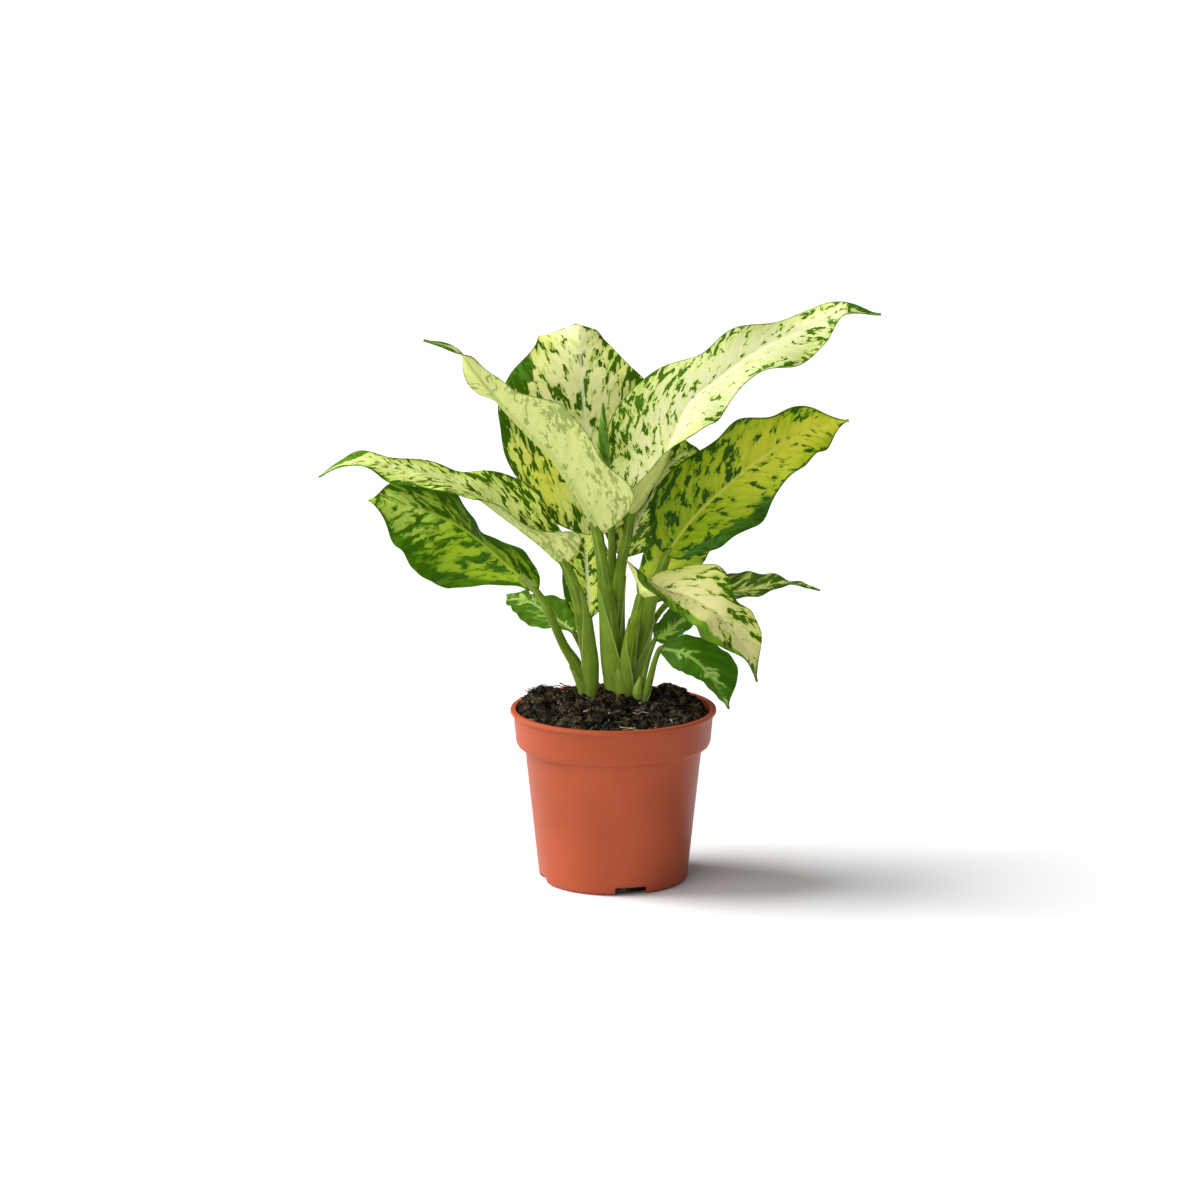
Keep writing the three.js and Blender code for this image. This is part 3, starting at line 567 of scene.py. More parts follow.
def make_leaf(name, leaf, order):
    """A blade on a grid: s runs across it from -1 to 1, t along it, closer at both ends."""
    large = np.ptp(np.array(leaf["rib"]), axis=0).max() > LARGE_LEAF
    columns, rows = (44, 130) if large else (26, 70)
    bpy.ops.mesh.primitive_grid_add(x_subdivisions=columns, y_subdivisions=rows, size=2)
    piece = newest(name)
    flat = read_places(piece.data)
    s = np.round(flat[:, 0], 6)
    even = np.round((flat[:, 1] + 1) / 2, 6)
    t = 0.4 * even + 0.6 * (1 - np.cos(np.pi * even)) / 2
    aside = lateral(leaf, t, s)
    shape_blade(piece.data, leaf, t, s, aside, order)
    mark_blade(piece.data, leaf, t, s, aside)
    piece.data.materials.append(BladeFinish(name, "upper").paint())
    piece.data.materials.append(BladeFinish(name, "under").paint())
    add_underside(piece, t, s, aside, 1.0 if large else 0.55)
    smooth(piece, 60)
    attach(piece, "root")
    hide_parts(name)


# ---------------------------------------------------------------- leaf colours

# How a leaf is marked.
# ground, pale: the light colour at the midrib and at the edge. vein: the midrib's colour.
# fleck, halo: the dark flecks, and the green that lies round them. band: the solid green bands.
# under, speck: the underside, and the flecks that show through to it.
# middle, edge, onset: the share of flecks in the middle and at the edge, and where it starts to rise.
# run, pitch, slope: how fine the flecks are across and along the blade, and how steeply they run.
# feather: how soft the flecks' edges are. margin: the width of the green line along the edge.
# dense: half, start and end along the blade, and how many more flecks are there.
# bands: half, start and end along the blade, and how far the band reaches in from the edge.
# stains_and_painted_light: soft patches, with their place across and along in mm, reach and colour.
# Most are the leaf's own colour; some are painted light, such as a painted glow of light through a blade and
# a painted sheen.
COMMON = dict(
    ground=tone(240, 236, 188), pale=tone(216, 228, 118), vein=tone(244, 241, 200),
    fleck=tone(60, 98, 0), halo=tone(180, 206, 50), band=tone(84, 130, 20),
    under=tone(232, 238, 150), speck=tone(108, 140, 34), middle=0.34, edge=0.45, onset=0.3,
    run=0.2, pitch=0.18, slope=VEIN_SLOPE, feather=0.015, margin=0.6, dense=(), bands=(), stains_and_painted_light=(),
)
PATTERNS = {
    "leaf_top_right": dict(
        ground=tone(233, 232, 182), pale=tone(206, 220, 116), vein=tone(233, 232, 188),
        middle=0.335, edge=0.43, run=0.25, pitch=0.16,
        dense=((0, -0.2, 0.5, 0.06), (0, 0.85, 1.2, 0.1), (1, 0.7, 1.2, 0.08)),
        stains_and_painted_light=((22, 105, 80, tone(192, 198, 146)),),
        bands=((0, 0.94, 1.2, 1.2), (1, 0.94, 1.2, 1.2)),
    ),
    "leaf_back": dict(
        ground=tone(250, 248, 180), pale=tone(236, 240, 116), vein=tone(250, 250, 204),
        middle=0.375, edge=0.46, run=0.17, pitch=0.1, band=tone(74, 122, 26),
        dense=((0, 0.3, 0.55, 0.08), (1, 0.3, 0.8, 0.04), (0, 0.78, 1.2, 0.12), (1, 0.85, 1.2, 0.1)),
        bands=((0, 0.55, 0.63, 0.36), (0, 0.36, 0.5, 0.05), (0, 0.97, 1.2, 1.2), (1, 0.96, 1.2, 1.2)),
        # The yellow patch low on the left half is painted light: a painted glow of light shining through the
        # blade.
        stains_and_painted_light=((-30, 34, 34, tone(238, 234, 84)),),
    ),
    "leaf_right": dict(
        ground=tone(200, 202, 52), pale=tone(158, 180, 20), halo=tone(110, 154, 0),
        vein=tone(208, 208, 84), fleck=tone(42, 80, 0), band=tone(62, 104, 18),
        middle=0.34, edge=0.43, run=0.16, pitch=0.17, feather=0.03, margin=1.3,
        dense=((0, -0.2, 0.55, 0.08), (1, -0.2, 0.5, 0.04)),
        stains_and_painted_light=((0, 20, 74, tone(136, 170, 4)),),
        bands=((1, 0.06, 0.5, 0.3), (0, -0.2, 0.25, 0.12)),
    ),
    "leaf_centre_back": dict(
        ground=tone(222, 230, 110), pale=tone(180, 204, 60), halo=tone(134, 174, 36),
        middle=0.46, edge=0.58, band=tone(60, 92, 10),
    ),
    "leaf_top_left": dict(
        ground=tone(226, 230, 150), band=tone(100, 138, 40), under=tone(228, 234, 148),
        middle=0.34, edge=0.46, onset=0.2, run=0.2, pitch=0.16,
        dense=((1, -0.2, 0.4, 0.05),), bands=((0, 0.93, 1.2, 1.2), (1, 0.93, 1.2, 1.2)),
    ),
    "leaf_left": dict(
        ground=tone(230, 240, 154), pale=tone(202, 222, 98), vein=tone(222, 230, 144),
        middle=0.38, edge=0.48, run=0.22, pitch=0.19, slope=1.3,
        dense=((0, -0.2, 0.65, 0.06), (1, -0.2, 0.5, 0.05)),
        bands=((0, 0.62, 0.9, 0.14), (0, 0.92, 1.2, 0.9), (1, 0.84, 1.2, 0.9)),
        stains_and_painted_light=((0, 18, 52, tone(248, 252, 142)),),
    ),
    "leaf_lower_left": dict(
        ground=tone(178, 210, 40), pale=tone(152, 194, 36), halo=tone(112, 162, 8),
        vein=tone(180, 212, 72), fleck=tone(62, 106, 0), band=tone(80, 126, 6), under=tone(124, 152, 62),
        middle=0.45, edge=0.56, onset=0.4, run=0.1, pitch=0.13, feather=0.05,
        dense=((1, -0.2, 1.2, 0.04),), bands=((0, -0.2, 1.2, 0.24), (1, 0.1, 0.8, 0.24)),
        # The second patch, greyish green near the tip, is a painted sheen: reflected light painted into the
        # colour.
        stains_and_painted_light=((6, 96, 42, tone(204, 230, 110)), (-24, 112, 30, tone(124, 164, 66))),
    ),
    "leaf_low_back_left": dict(
        ground=tone(176, 202, 104), pale=tone(138, 172, 68), halo=tone(112, 152, 44),
        vein=tone(176, 202, 116), fleck=tone(72, 112, 18), under=tone(132, 162, 70),
        middle=0.5, edge=0.7, onset=0.1, run=0.1, pitch=0.2, feather=0.06,
    ),
    "leaf_mid_back": dict(
        ground=tone(238, 244, 118), pale=tone(222, 236, 88), halo=tone(172, 206, 34),
        middle=0.46, edge=0.56,
    ),
    "leaf_front_right": dict(
        ground=tone(226, 220, 154), pale=tone(212, 216, 108), halo=tone(176, 198, 46),
        vein=tone(228, 222, 158), band=tone(112, 152, 40),
        middle=0.365, edge=0.42, run=0.17, pitch=0.12, feather=0.02,
        bands=((1, 0.1, 1.2, 0.34), (0, 0.94, 1.2, 0.8)),
    ),
    "leaf_mid_right": dict(
        ground=tone(206, 218, 64), pale=tone(172, 202, 40), halo=tone(130, 172, 14),
        vein=tone(212, 224, 98), middle=0.33, edge=0.45, run=0.12, pitch=0.2,
    ),
    "leaf_low_right": dict(
        ground=tone(236, 246, 136), pale=tone(180, 208, 84), halo=tone(110, 150, 36),
        vein=tone(220, 236, 140), fleck=tone(70, 104, 8), under=tone(140, 168, 72),
        middle=0.47, edge=0.58, onset=0.2, run=0.1, pitch=0.2, feather=0.04,
    ),
    "leaf_low_front_right": dict(
        ground=tone(172, 204, 104), pale=tone(112, 154, 56), halo=tone(88, 136, 34),
        vein=tone(160, 192, 98), fleck=tone(64, 108, 12), under=tone(118, 150, 70),
        middle=0.55, edge=0.84, onset=0.05, run=0.1, pitch=0.22, feather=0.04,
    ),
    "leaf_small_right": dict(
        ground=tone(156, 188, 62), pale=tone(100, 144, 30), halo=tone(76, 120, 14),
        vein=tone(150, 182, 80), fleck=tone(58, 98, 4), under=tone(114, 148, 60),
        middle=0.52, edge=0.8, onset=0.05, run=0.12, pitch=0.22, feather=0.04,
    ),
}


class BladeFinish(Finish):
    """The finish of one side of a blade, drawn on the coordinates that mark_blade gives it."""

    def __init__(self, name, side):
        super().__init__(f"{name}_{side}")
        self.upper = side == "upper"
        self.look = {**COMMON, **PATTERNS[name]}
        self.seed = 3.7 * sorted(PATTERNS).index(name)
        uv = self.split(self.coordinates("UV"))
        self.across = self.maths("MULTIPLY_ADD", uv[0], 100, -50)
        self.length = self.maths("MULTIPLY", uv[1], 100)
        self.distance = self.maths("ABSOLUTE", self.across)
        self.place = self.merge(self.across, self.length, self.seed)
        self.edge, self.tip, self.rim = (
            self.node("ShaderNodeAttribute", attribute_name=key).outputs["Fac"]
            for key in ("edge", "tip", "rim")
        )
        self.vein = self.maths("SUBTRACT", self.length, self.lean(VEIN_SLOPE))
        right = self.step(self.across, -0.5, 0.5)
        self.halves = self.maths("SUBTRACT", 1.0, right), right

    def lean(self, slope):
        """How far towards the tip a side vein of this slope has come since it left the midrib."""
        steeper = self.maths("MULTIPLY_ADD", self.distance, VEIN_CURVE, slope)
        return self.maths("MULTIPLY", self.distance, steeper)

    def flow(self):
        """Coordinates for the flecks, which run towards the tip as the side veins do."""
        fine = 1.0 if self.upper else 1.3
        wobble = self.swing(self.grain(self.place, 0.2), 3.0)
        upward = self.maths("SUBTRACT", self.length, self.lean(self.look["slope"]))
        return self.merge(
            self.maths("MULTIPLY", self.across, self.look["run"] * fine),
            self.maths("MULTIPLY", self.maths("ADD", upward, wobble), self.look["pitch"] * fine),
            self.seed,
        )

    def window(self, half, start, end, before, after):
        """One half of the blade between two shares of its length, with soft ends."""
        rise = self.step(self.tip, start - before, start + after)
        fall = self.step(self.tip, end + before, end - after)
        return self.maths("MULTIPLY", self.maths("MULTIPLY", rise, fall), self.halves[half])

    def flecks(self, flow):
        """How far the place is inside a fleck. The flecks' corners come from small cells."""
        look = self.look
        amount = self.step(self.edge, look["onset"], 1.0, look["middle"], look["edge"])
        amount = self.maths("ADD", amount, self.swing(self.grain(self.place, 0.05), 0.14))
        for half, start, end, more in look["dense"]:
            amount = self.maths("MULTIPLY_ADD", self.window(half, start, end, 0.1, 0.1), more, amount)
        cells = self.node("ShaderNodeTexVoronoi", {"Vector": flow, "Scale": 3.2}).outputs["Color"]
        spots = self.grain(flow, 1.0, 2.5, 0.52, 0.4)
        level = self.maths("ADD", spots, self.swing(self.split(cells)[0], 0.08))
        return self.maths("ADD", level, self.maths("SUBTRACT", amount, 1.0))

    def bands(self, flow):
        """The solid green bands, with ragged inner edges."""
        ragged = self.swing(self.grain(flow, 0.9, 3.0), 0.25)
        fuzz = 1.5 * self.look["feather"]
        solid = 0.0
        for half, start, end, depth in self.look["bands"]:
            window = self.window(half, start, end, 0.05, 0.03)
            share = self.maths("ADD", self.edge, self.maths("MULTIPLY_ADD", window, depth, -1.0))
            share = self.maths("ADD", share, self.maths("MULTIPLY", ragged, window))
            solid = self.maths("MAXIMUM", solid, self.step(share, -fuzz, fuzz))
        return solid

    def paint_upper(self, flow, inside, soft, lines, border):
        """The face: ground, patches (stains, and painted light on some leaves), halos, veins, bands, flecks,
        edge and midrib, in that order.
        """
        look, maths, step, mix = self.look, self.maths, self.step, self.mix
        colour = mix(step(self.edge, 0.25, 1.0, 0.0, 0.8), look["ground"], look["pale"])
        colour = mix(maths("MULTIPLY", step(soft, 0.5, 0.75), 0.4), colour, look["halo"])
        # Soft patches of colour: most are the leaf's own, and some are painted light, such as a painted glow
        # and a painted sheen.
        for x, y, reach, patch_colour in look["stains_and_painted_light"]:
            ends = {0: self.merge(self.across, self.length, 0), 1: (x, y, 0)}
            away = self.node("ShaderNodeVectorMath", ends, operation="DISTANCE").outputs["Value"]
            colour = mix(step(away, reach, 0.0, 0.0, 0.9), colour, patch_colour)
        colour = mix(maths("MULTIPLY", step(inside, -0.11, -0.03), 0.6), colour, look["halo"])
        colour = mix(maths("MULTIPLY", lines, 0.2), colour, look["vein"])
        if look["bands"]:
            band = mix(step(soft, 0.35, 0.7), look["band"], shade(look["band"], 1.35))
            colour = mix(self.bands(flow), colour, band)
        fleck = mix(step(soft, 0.4, 0.8), look["fleck"], shade(look["fleck"], 1.5))
        colour = mix(step(inside, -look["feather"], look["feather"]), colour, fleck)
        colour = mix(maths("MULTIPLY", border, 0.75), colour, shade(look["fleck"], 1.25))
        rib = maths("MULTIPLY", step(self.distance, 1.4, 0.6, 0.0, 0.8), step(self.tip, 1.0, 0.5))
        return mix(rib, colour, look["vein"])

    def paint_under(self, inside, soft, lines, border):
        """The paler underside, where the flecks only show through."""
        look, maths, step, mix = self.look, self.maths, self.step, self.mix
        darker = shade(look["under"], 0.8)
        colour = mix(maths("MULTIPLY", step(soft, 0.4, 0.7), 0.4), look["under"], darker)
        colour = mix(maths("MULTIPLY", lines, 0.14), colour, shade(look["under"], 1.14))
        colour = mix(maths("MULTIPLY", step(inside, -0.03, 0.03), 0.6), colour, look["speck"])
        colour = mix(maths("MULTIPLY", border, 0.6), colour, look["speck"])
        return mix(step(self.distance, 1.7, 1.1, 0.0, 0.45), colour, tone(188, 208, 112))

    def paint(self):
        """The whole finish: soft clouds and lines follow the side veins, a dark border the edge."""
        maths, step, grain = self.maths, self.step, self.grain
        flow = self.flow()
        inside = self.flecks(flow)
        lines = maths("SINE", maths("MULTIPLY", self.vein, 2 * math.pi / VEIN_SPACING))
        lines = step(lines, 0.3, 1.0)
        clouds = self.merge(self.across, maths("MULTIPLY", self.vein, 1.7), self.seed + 2)
        soft = grain(clouds, 0.09, 3.0)
        uneven = grain(self.merge(self.across, self.length, self.seed + 9), 0.16)
        inner = maths("SUBTRACT", self.rim, maths("MULTIPLY", uneven, 2 * self.look["margin"]))
        border = step(inner, 0.3, -0.3)
        if self.upper:
            colour = self.paint_upper(flow, inside, soft, lines, border)
        else:
            colour = self.paint_under(inside, soft, lines, border)
        bump = self.bump(grain(self.place, 0.5, 4.0, 0.6), 0.0004, 0.3)
        body = self.gloss(colour, 0.45 if self.upper else 0.6, bump, Specular_IOR_Level=0.12)
        return self.show(self.lit_through(body, colour, (0.95, 1.0, 0.6, 1), 0.2))


for order, (name, leaf) in enumerate(LEAVES.items()):
    make_leaf(name, leaf, order)


# ---------------------------------------------------------------- stalks

# Each cane: its place, its radius and its top.
CANES = {
    "shoot_centre": (5, 25.5, 11.5, 107.5),
    "shoot_left": (-14.5, 25, 6, 106),
    "shoot_small": (16, 10, 4.6, 105.5),
}
CANE_FOOT = 74

# Each leaf's stalk: its shoot, points and radii from the cane up, and its sheath, where it has
# one: how far up the sheath goes, and the direction in degrees that its back faces, where 0 is
# to the right and -90 to the front.
STALKS = {
    "leaf_top_right": (
        "shoot_centre",
        [(3, 26, 98), (3, 25.5, 108), (2, 24, 128), (2, 21, 155), (4, 18, 180), (8, 15, 200)],
        [5, 5, 5, 4.2, 3.4, 2.9, 2.6, 1.2], (0.55, 20),
    ),
    "leaf_right": (
        "shoot_centre",
        [(9, 25, 98), (9.8, 25, 108), (15, 24, 125), (18, 21, 142), (22, 17, 162), (28, 14, 181)],
        [5, 5, 5, 4.4, 3.8, 3.2, 2.7, 1.2], (0.5, 0),
    ),
    "leaf_back": (
        "shoot_centre", [(1, 29, 98), (0.6, 29.5, 108), (-3, 32, 135), (-5, 31, 165), (-7, 29, 187)],
        [4, 4, 4, 3.2, 2.8, 2.5, 1.2], (0.4, 100),
    ),
    "leaf_centre_back": (
        "shoot_centre", [(3, 30, 98), (3, 30.3, 108), (2, 31, 135), (2, 29, 163)],
        [3.4, 3.4, 3.2, 2.8, 2.3, 1.1], (0.4, 90),
    ),
    "leaf_top_left": (
        "shoot_centre", [(1.5, 24.5, 98), (1, 24, 108), (-1, 20, 129), (-3, 14, 157), (-6, 7, 182)],
        [5.5, 5.6, 6, 5, 3.7, 2.9, 1.3], (0.62, 195),
    ),
    "leaf_left": (
        "shoot_left", [(-13.5, 24.5, 98), (-13.5, 24, 108), (-14, 21, 125), (-17, 17, 144), (-21, 10, 166)],
        [4, 4.3, 4.8, 4.5, 3.8, 2.8, 1.2], (0.72, -20),
    ),
    "leaf_lower_left": (
        "shoot_left", [(-16.5, 24.5, 98), (-17, 24, 107), (-22, 20, 123), (-29, 14, 136), (-37, 6, 156)],
        [3, 3.2, 3.6, 2.8, 2.5, 2.2, 1.1], (0.35, 200),
    ),
    "leaf_low_back_left": (
        "shoot_left", [(-14.5, 27, 98), (-14.7, 27, 108), (-15, 27, 119), (-18, 23, 131)],
        [2.2, 2.2, 1.9, 1.7, 1.5, 0.8], None,
    ),
    "leaf_mid_back": (
        "shoot_left", [(-13, 27, 98), (-12.7, 28, 108), (-11.5, 33, 125)], [2.5, 2.5, 2.2, 1.7, 0.9], None,
    ),
    "leaf_front_right": (
        "shoot_centre", [(7.5, 21.5, 98), (7.5, 21, 108), (9, 16, 127), (11, 9, 143), (14, 2, 160)],
        [4.5, 4.6, 4.6, 3.8, 3, 2.6, 1.2], (0.6, 175),
    ),
    "leaf_mid_right": (
        "shoot_centre", [(9, 28, 98), (9.3, 28, 108), (12.5, 31, 129)], [3.2, 3.2, 2.8, 2.1, 1.1], None,
    ),
    "leaf_low_right": (
        "shoot_centre", [(10.5, 27, 98), (11, 27, 108), (17, 29, 130), (24, 27, 148)],
        [2.8, 2.8, 2.2, 1.9, 1.8, 1], None,
    ),
    "leaf_low_front_right": (
        "shoot_small", [(17.3, 10, 96), (17.8, 9.8, 104), (21, 9, 115), (24, 5, 128)],
        [2.4, 2.4, 2.1, 1.7, 1.5, 0.8], (0.35, 20),
    ),
    "leaf_small_right": (
        "shoot_small", [(15.4, 11.8, 96), (15.8, 12, 104), (17, 13, 114), (20.5, 13, 129)],
        [2, 2, 1.9, 1.6, 1.4, 0.8], None,
    ),
}

# A thin stalk's end lies less deep under the midrib.
THICK_STALK = 3
THIN_STALK_DROP = 0.6

# Sheaths that end in a free tip: the shoot, points and radii.
FREE_SHEATHS = [
    ("shoot_centre", [(6, 21, 98), (5.5, 19.5, 108), (4, 17, 117), (2, 16, 124)], [4.5, 4.6, 3.6, 0.9]),
    ("shoot_small", [(14.8, 9.6, 96), (14.8, 9.4, 104), (14.2, 9, 110), (16, 10.6, 118)], [2.4, 2.6, 3, 0.9]),
]

# The young rolled leaf and its stalk: points and radii.
SPEAR_STALK = ([(3, 26, 98), (0, 22, 161), (-1, 17, 198), (-2.6, 15.5, 216)], [4, 3, 2.2, 2])
SPEAR = ([(-2.65, 15.45, 215.5), (-4.4, 15, 236), (-6, 16, 257), (-6, 17, 279)], [1.9, 2.7, 3, 0.5])


def stalk_finish(name, paleness):
    """Living stalk with fine veins lengthways, paler at the foot; a sheath is paler all over."""
    finish = Finish(name)
    maths, step, mix = finish.maths, finish.step, finish.mix
    place = finish.coordinates("Object")
    uv = finish.split(finish.coordinates("UV"))
    streaks = finish.grain(finish.merge(uv[0], maths("MULTIPLY", uv[1], 0.05), 0), 34, 3.0, 0.6)
    clouds = finish.grain(place, 90, 2.0)
    height = finish.split(place)[2]
    colour = mix(step(clouds, 0.35, 0.65), tone(92, 122, 4), tone(118, 150, 20))
    colour = mix(step(streaks, 0.5, 0.72, 0.0, 0.65), colour, tone(182, 204, 92))
    colour = mix(step(streaks, 0.5, 0.3, 0.0, 0.5), colour, tone(64, 92, 0))
    colour = mix(step(height, 0.135, 0.1, 0.0, 0.35), colour, tone(162, 186, 84))
    if paleness:
        colour = mix(paleness, colour, tone(152, 184, 66))
        margin = step(maths("ABSOLUTE", maths("SUBTRACT", uv[0], 0.5)), 0.46, 0.49)
        colour = mix(margin, colour, tone(190, 206, 120))
    bump = finish.bump(streaks, 0.0002, 0.3)
    body = finish.gloss(colour, 0.42, bump, Specular_IOR_Level=0.25)
    return finish.show(finish.lit_through(body, colour, (0.9, 1.0, 0.45, 1), 0.12))


def spear_finish():
    """Dark streaks that wind up the rolled leaf, and the pale lip of its roll."""
    finish = Finish("leaf_spear")
    uv = finish.split(finish.coordinates("UV"))
    winding = finish.maths("MULTIPLY_ADD", uv[1], 3.0, finish.maths("MULTIPLY", uv[0], 2.0))
    streaks = finish.grain(finish.merge(winding, uv[1], 0), 5.0, 3.0, 0.6)
    colour = finish.mix(finish.step(streaks, 0.42, 0.6), tone(60, 104, 10), tone(112, 152, 40))
    colour = finish.mix(finish.step(uv[0], 0.955, 0.985, 0.0, 0.85), colour, tone(170, 192, 96))
    bump = finish.bump(streaks, 0.0003, 0.3)
    return finish.show(finish.gloss(colour, 0.4, bump, Specular_IOR_Level=0.35))


STALK_FINISH = stalk_finish("stalk_green", 0.0)
SHEATH_FINISH = stalk_finish("sheath_green", 0.4)


def channel(angle, t):
    """A stalk is round, with a shallow channel along its upper side towards the blade."""
    off = math.atan2(math.sin(angle - math.pi / 2), math.cos(angle - math.pi / 2))
    return 1 - 0.22 * min(1, t * 1.5) * math.exp(-(off / 0.5) ** 2)


def rolled(angle, t):
    """The young leaf is rolled up: its section is a spiral whose lip winds round it."""
    share = angle / (2 * math.pi)
    return 0.82 + (0.3 * share if share < 0.98 else 0)


def make_sheath(name, path, radii, top, faces):
    """The thin wings of a stalk's foot, wrapped round it and open down one side.

    Up to the share top of the stalk, the wings get narrower and their margins stand off it.
    """
    bpy.ops.mesh.primitive_grid_add(x_subdivisions=22, y_subdivisions=26, size=2)
    piece = newest(name)
    places = read_places(piece.data)
    for place in places:
        s, t = place[0], (place[1] + 1) / 2
        at = top * t
        wrap = math.radians(28 + 140 * (1 - t ** 1.6))
        angle = math.radians(faces) + s * wrap
        centre, forward, side, back = path_frame(path, at)
        radius = along(radii, at) + 0.25 + 0.9 * abs(s) ** 3 * math.sin(math.pi * min(t * 1.1, 1))
        sink = 3.5 * abs(s) ** 2 * t
        outwards = side * math.cos(angle) + back * math.sin(angle)
        place[:] = centre + radius * outwards - forward * sink
    write_places(piece.data, places * MM)
    piece.data.materials.append(SHEATH_FINISH)
    apply_modifier(piece, "SOLIDIFY", thickness=0.4 * MM, offset=1)
    return piece


def stalk_points(leaf_name):
    """A stalk's points, with two more that lead it under its blade's midrib."""
    _, path, radii, _ = STALKS[leaf_name]
    share = 1 if radii[0] > THICK_STALK else THIN_STALK_DROP
    points = list(path)
    for t, drop in ((0, 1.1), (0.05, 1.7)):
        point, _, up, _ = rib_frame(LEAVES[leaf_name], t)
        points.append(tuple(point - up * drop * share))
    return points


def make_shoot(name):
    """A cane, joined with the stalks and sheaths that grow from it."""
    x, y, radius, top = CANES[name]
    profile = [(0, CANE_FOOT), (radius, CANE_FOOT), (radius, top - 5), (radius * 0.8, top - 1.5)]
    profile.append((0, top))
    cane = turned(name + "_cane", profile, 32)
    cane.location = (x * MM, y * MM, 0)
    settle(cane)
    parts = [cane]
    wraps = []
    for leaf_name, (shoot, _, radii, wrap) in STALKS.items():
        if shoot != name:
            continue
        points = stalk_points(leaf_name)
        parts.append(tube(leaf_name + "_stalk", points, radii, 18, 34, channel))
        if wrap:
            wraps.append(make_sheath(leaf_name + "_sheath", points, radii, *wrap))
    for shoot, path, radii in FREE_SHEATHS:
        if shoot == name:
            wraps.append(tube(name + "_free_sheath", path, radii, 16, 14))
            wraps[-1].data.materials.append(SHEATH_FINISH)
    if name == "shoot_centre":
        parts.append(tube("spear_stalk", *SPEAR_STALK, 16, 30))
    for part in parts:
        part.data.materials.clear()
        part.data.materials.append(STALK_FINISH)
    shoot = join(name, parts + wraps)
    smooth(shoot, 50)
    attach(shoot, "root")
    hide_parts(name)


def make_spear():
    spear = tube("leaf_spear", *SPEAR, 40, 40, rolled)
    spear.data.materials.append(spear_finish())
    smooth(spear, 50)
    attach(spear, "root")
    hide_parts("leaf_spear")


for name in CANES:
    make_shoot(name)
make_spear()


# ---------------------------------------------------------------- pot

# Profiles of (radius, height): the outside from the floor up to the rim, the inside down again.
# The outside's wall ends at the underside of the collar.
POT_OUTSIDE = [
    (0, 0), (40, 0), (41.9, 0.5), (43.1, 1.8), (43.6, 3.8), (51.5, 78.5), (52, 79.3), (54.1, 79.6),
    (55.8, 80.9), (56.6, 82.6), (56.8, 84), (58.25, 99.2), (59.5, 99.4), (60, 100.1), (60, 101.2),
    (59.7, 101.8), (59.3, 102),
]
POT_WALL_POINTS = 6
POT_INSIDE = [
    (57.25, 102), (56.85, 101.7), (56.75, 101.3), (55.3, 84.2), (54.4, 82), (52.9, 81.1), (50.2, 80.3),
    (50, 79), (42.1, 4), (40.7, 1.6), (0, 1.6),
]
POT_STEPS = 144

# The notches in the bottom edge, each in a thickened wall, with a drain hole in its roof. They
# start at NOTCH_INNER from the axis and are cut as far out as PAST_WALL.
NOTCHES = 4
NOTCH_TURN = math.radians(-76)
NOTCH_WIDTH = 19
NOTCH_HEIGHT = 5
NOTCH_INNER = 33
NOTCH_WALL = 1.5
PAST_WALL = 60
DRAIN_RADIUS = 3
DRAIN_DEPTH = 6
DRAIN_PLACE = (38, 0, 6)


def pot_finish():
    """Moulded plastic with a fine grit and faint clouds of colour and gloss."""
    finish = Finish("terracotta_plastic")
    place = finish.coordinates("Object")
    clouds = finish.grain(place, 28, 3.0)
    grit = finish.grain(place, 700, 3.0, 0.6)
    colour = finish.mix(finish.step(clouds, 0.3, 0.7), tone(160, 70, 38), tone(170, 77, 44))
    colour = finish.mix(finish.maths("MULTIPLY", grit, 0.12), colour, tone(136, 56, 30))
    roughness = finish.step(clouds, 0.2, 0.8, 0.4, 0.52)
    bump = finish.bump(grit, 0.0002, 0.25)
    return finish.show(finish.gloss(colour, roughness, bump, Specular_IOR_Level=0.22))


def notch_tool(width, low, high, inner, turn):
    """A block from a distance inside the pot out past its wall, turned to its notch."""
    bpy.ops.mesh.primitive_cube_add(size=1)
    tool = newest("notch_tool")
    tool.scale = ((PAST_WALL - inner) * MM, width * MM, (high - low) * MM)
    tool.location = ((inner + PAST_WALL) / 2 * MM, 0, (low + high) / 2 * MM)
    settle(tool)
    tool.data.transform(turn)
    return tool


def drain_tool(turn):
    bpy.ops.mesh.primitive_cylinder_add(
        vertices=32, radius=DRAIN_RADIUS * MM, depth=DRAIN_DEPTH * MM,
        location=[c * MM for c in DRAIN_PLACE],
    )
    tool = newest("drain_tool")
    settle(tool)
    tool.data.transform(turn)
    return tool


def combine(piece, tool, operation):
    """Cuts, joins or trims the piece with a tool, and throws the tool away."""
    apply_modifier(piece, "BOOLEAN", operation=operation, object=tool, solver="EXACT")
    bpy.data.objects.remove(tool)


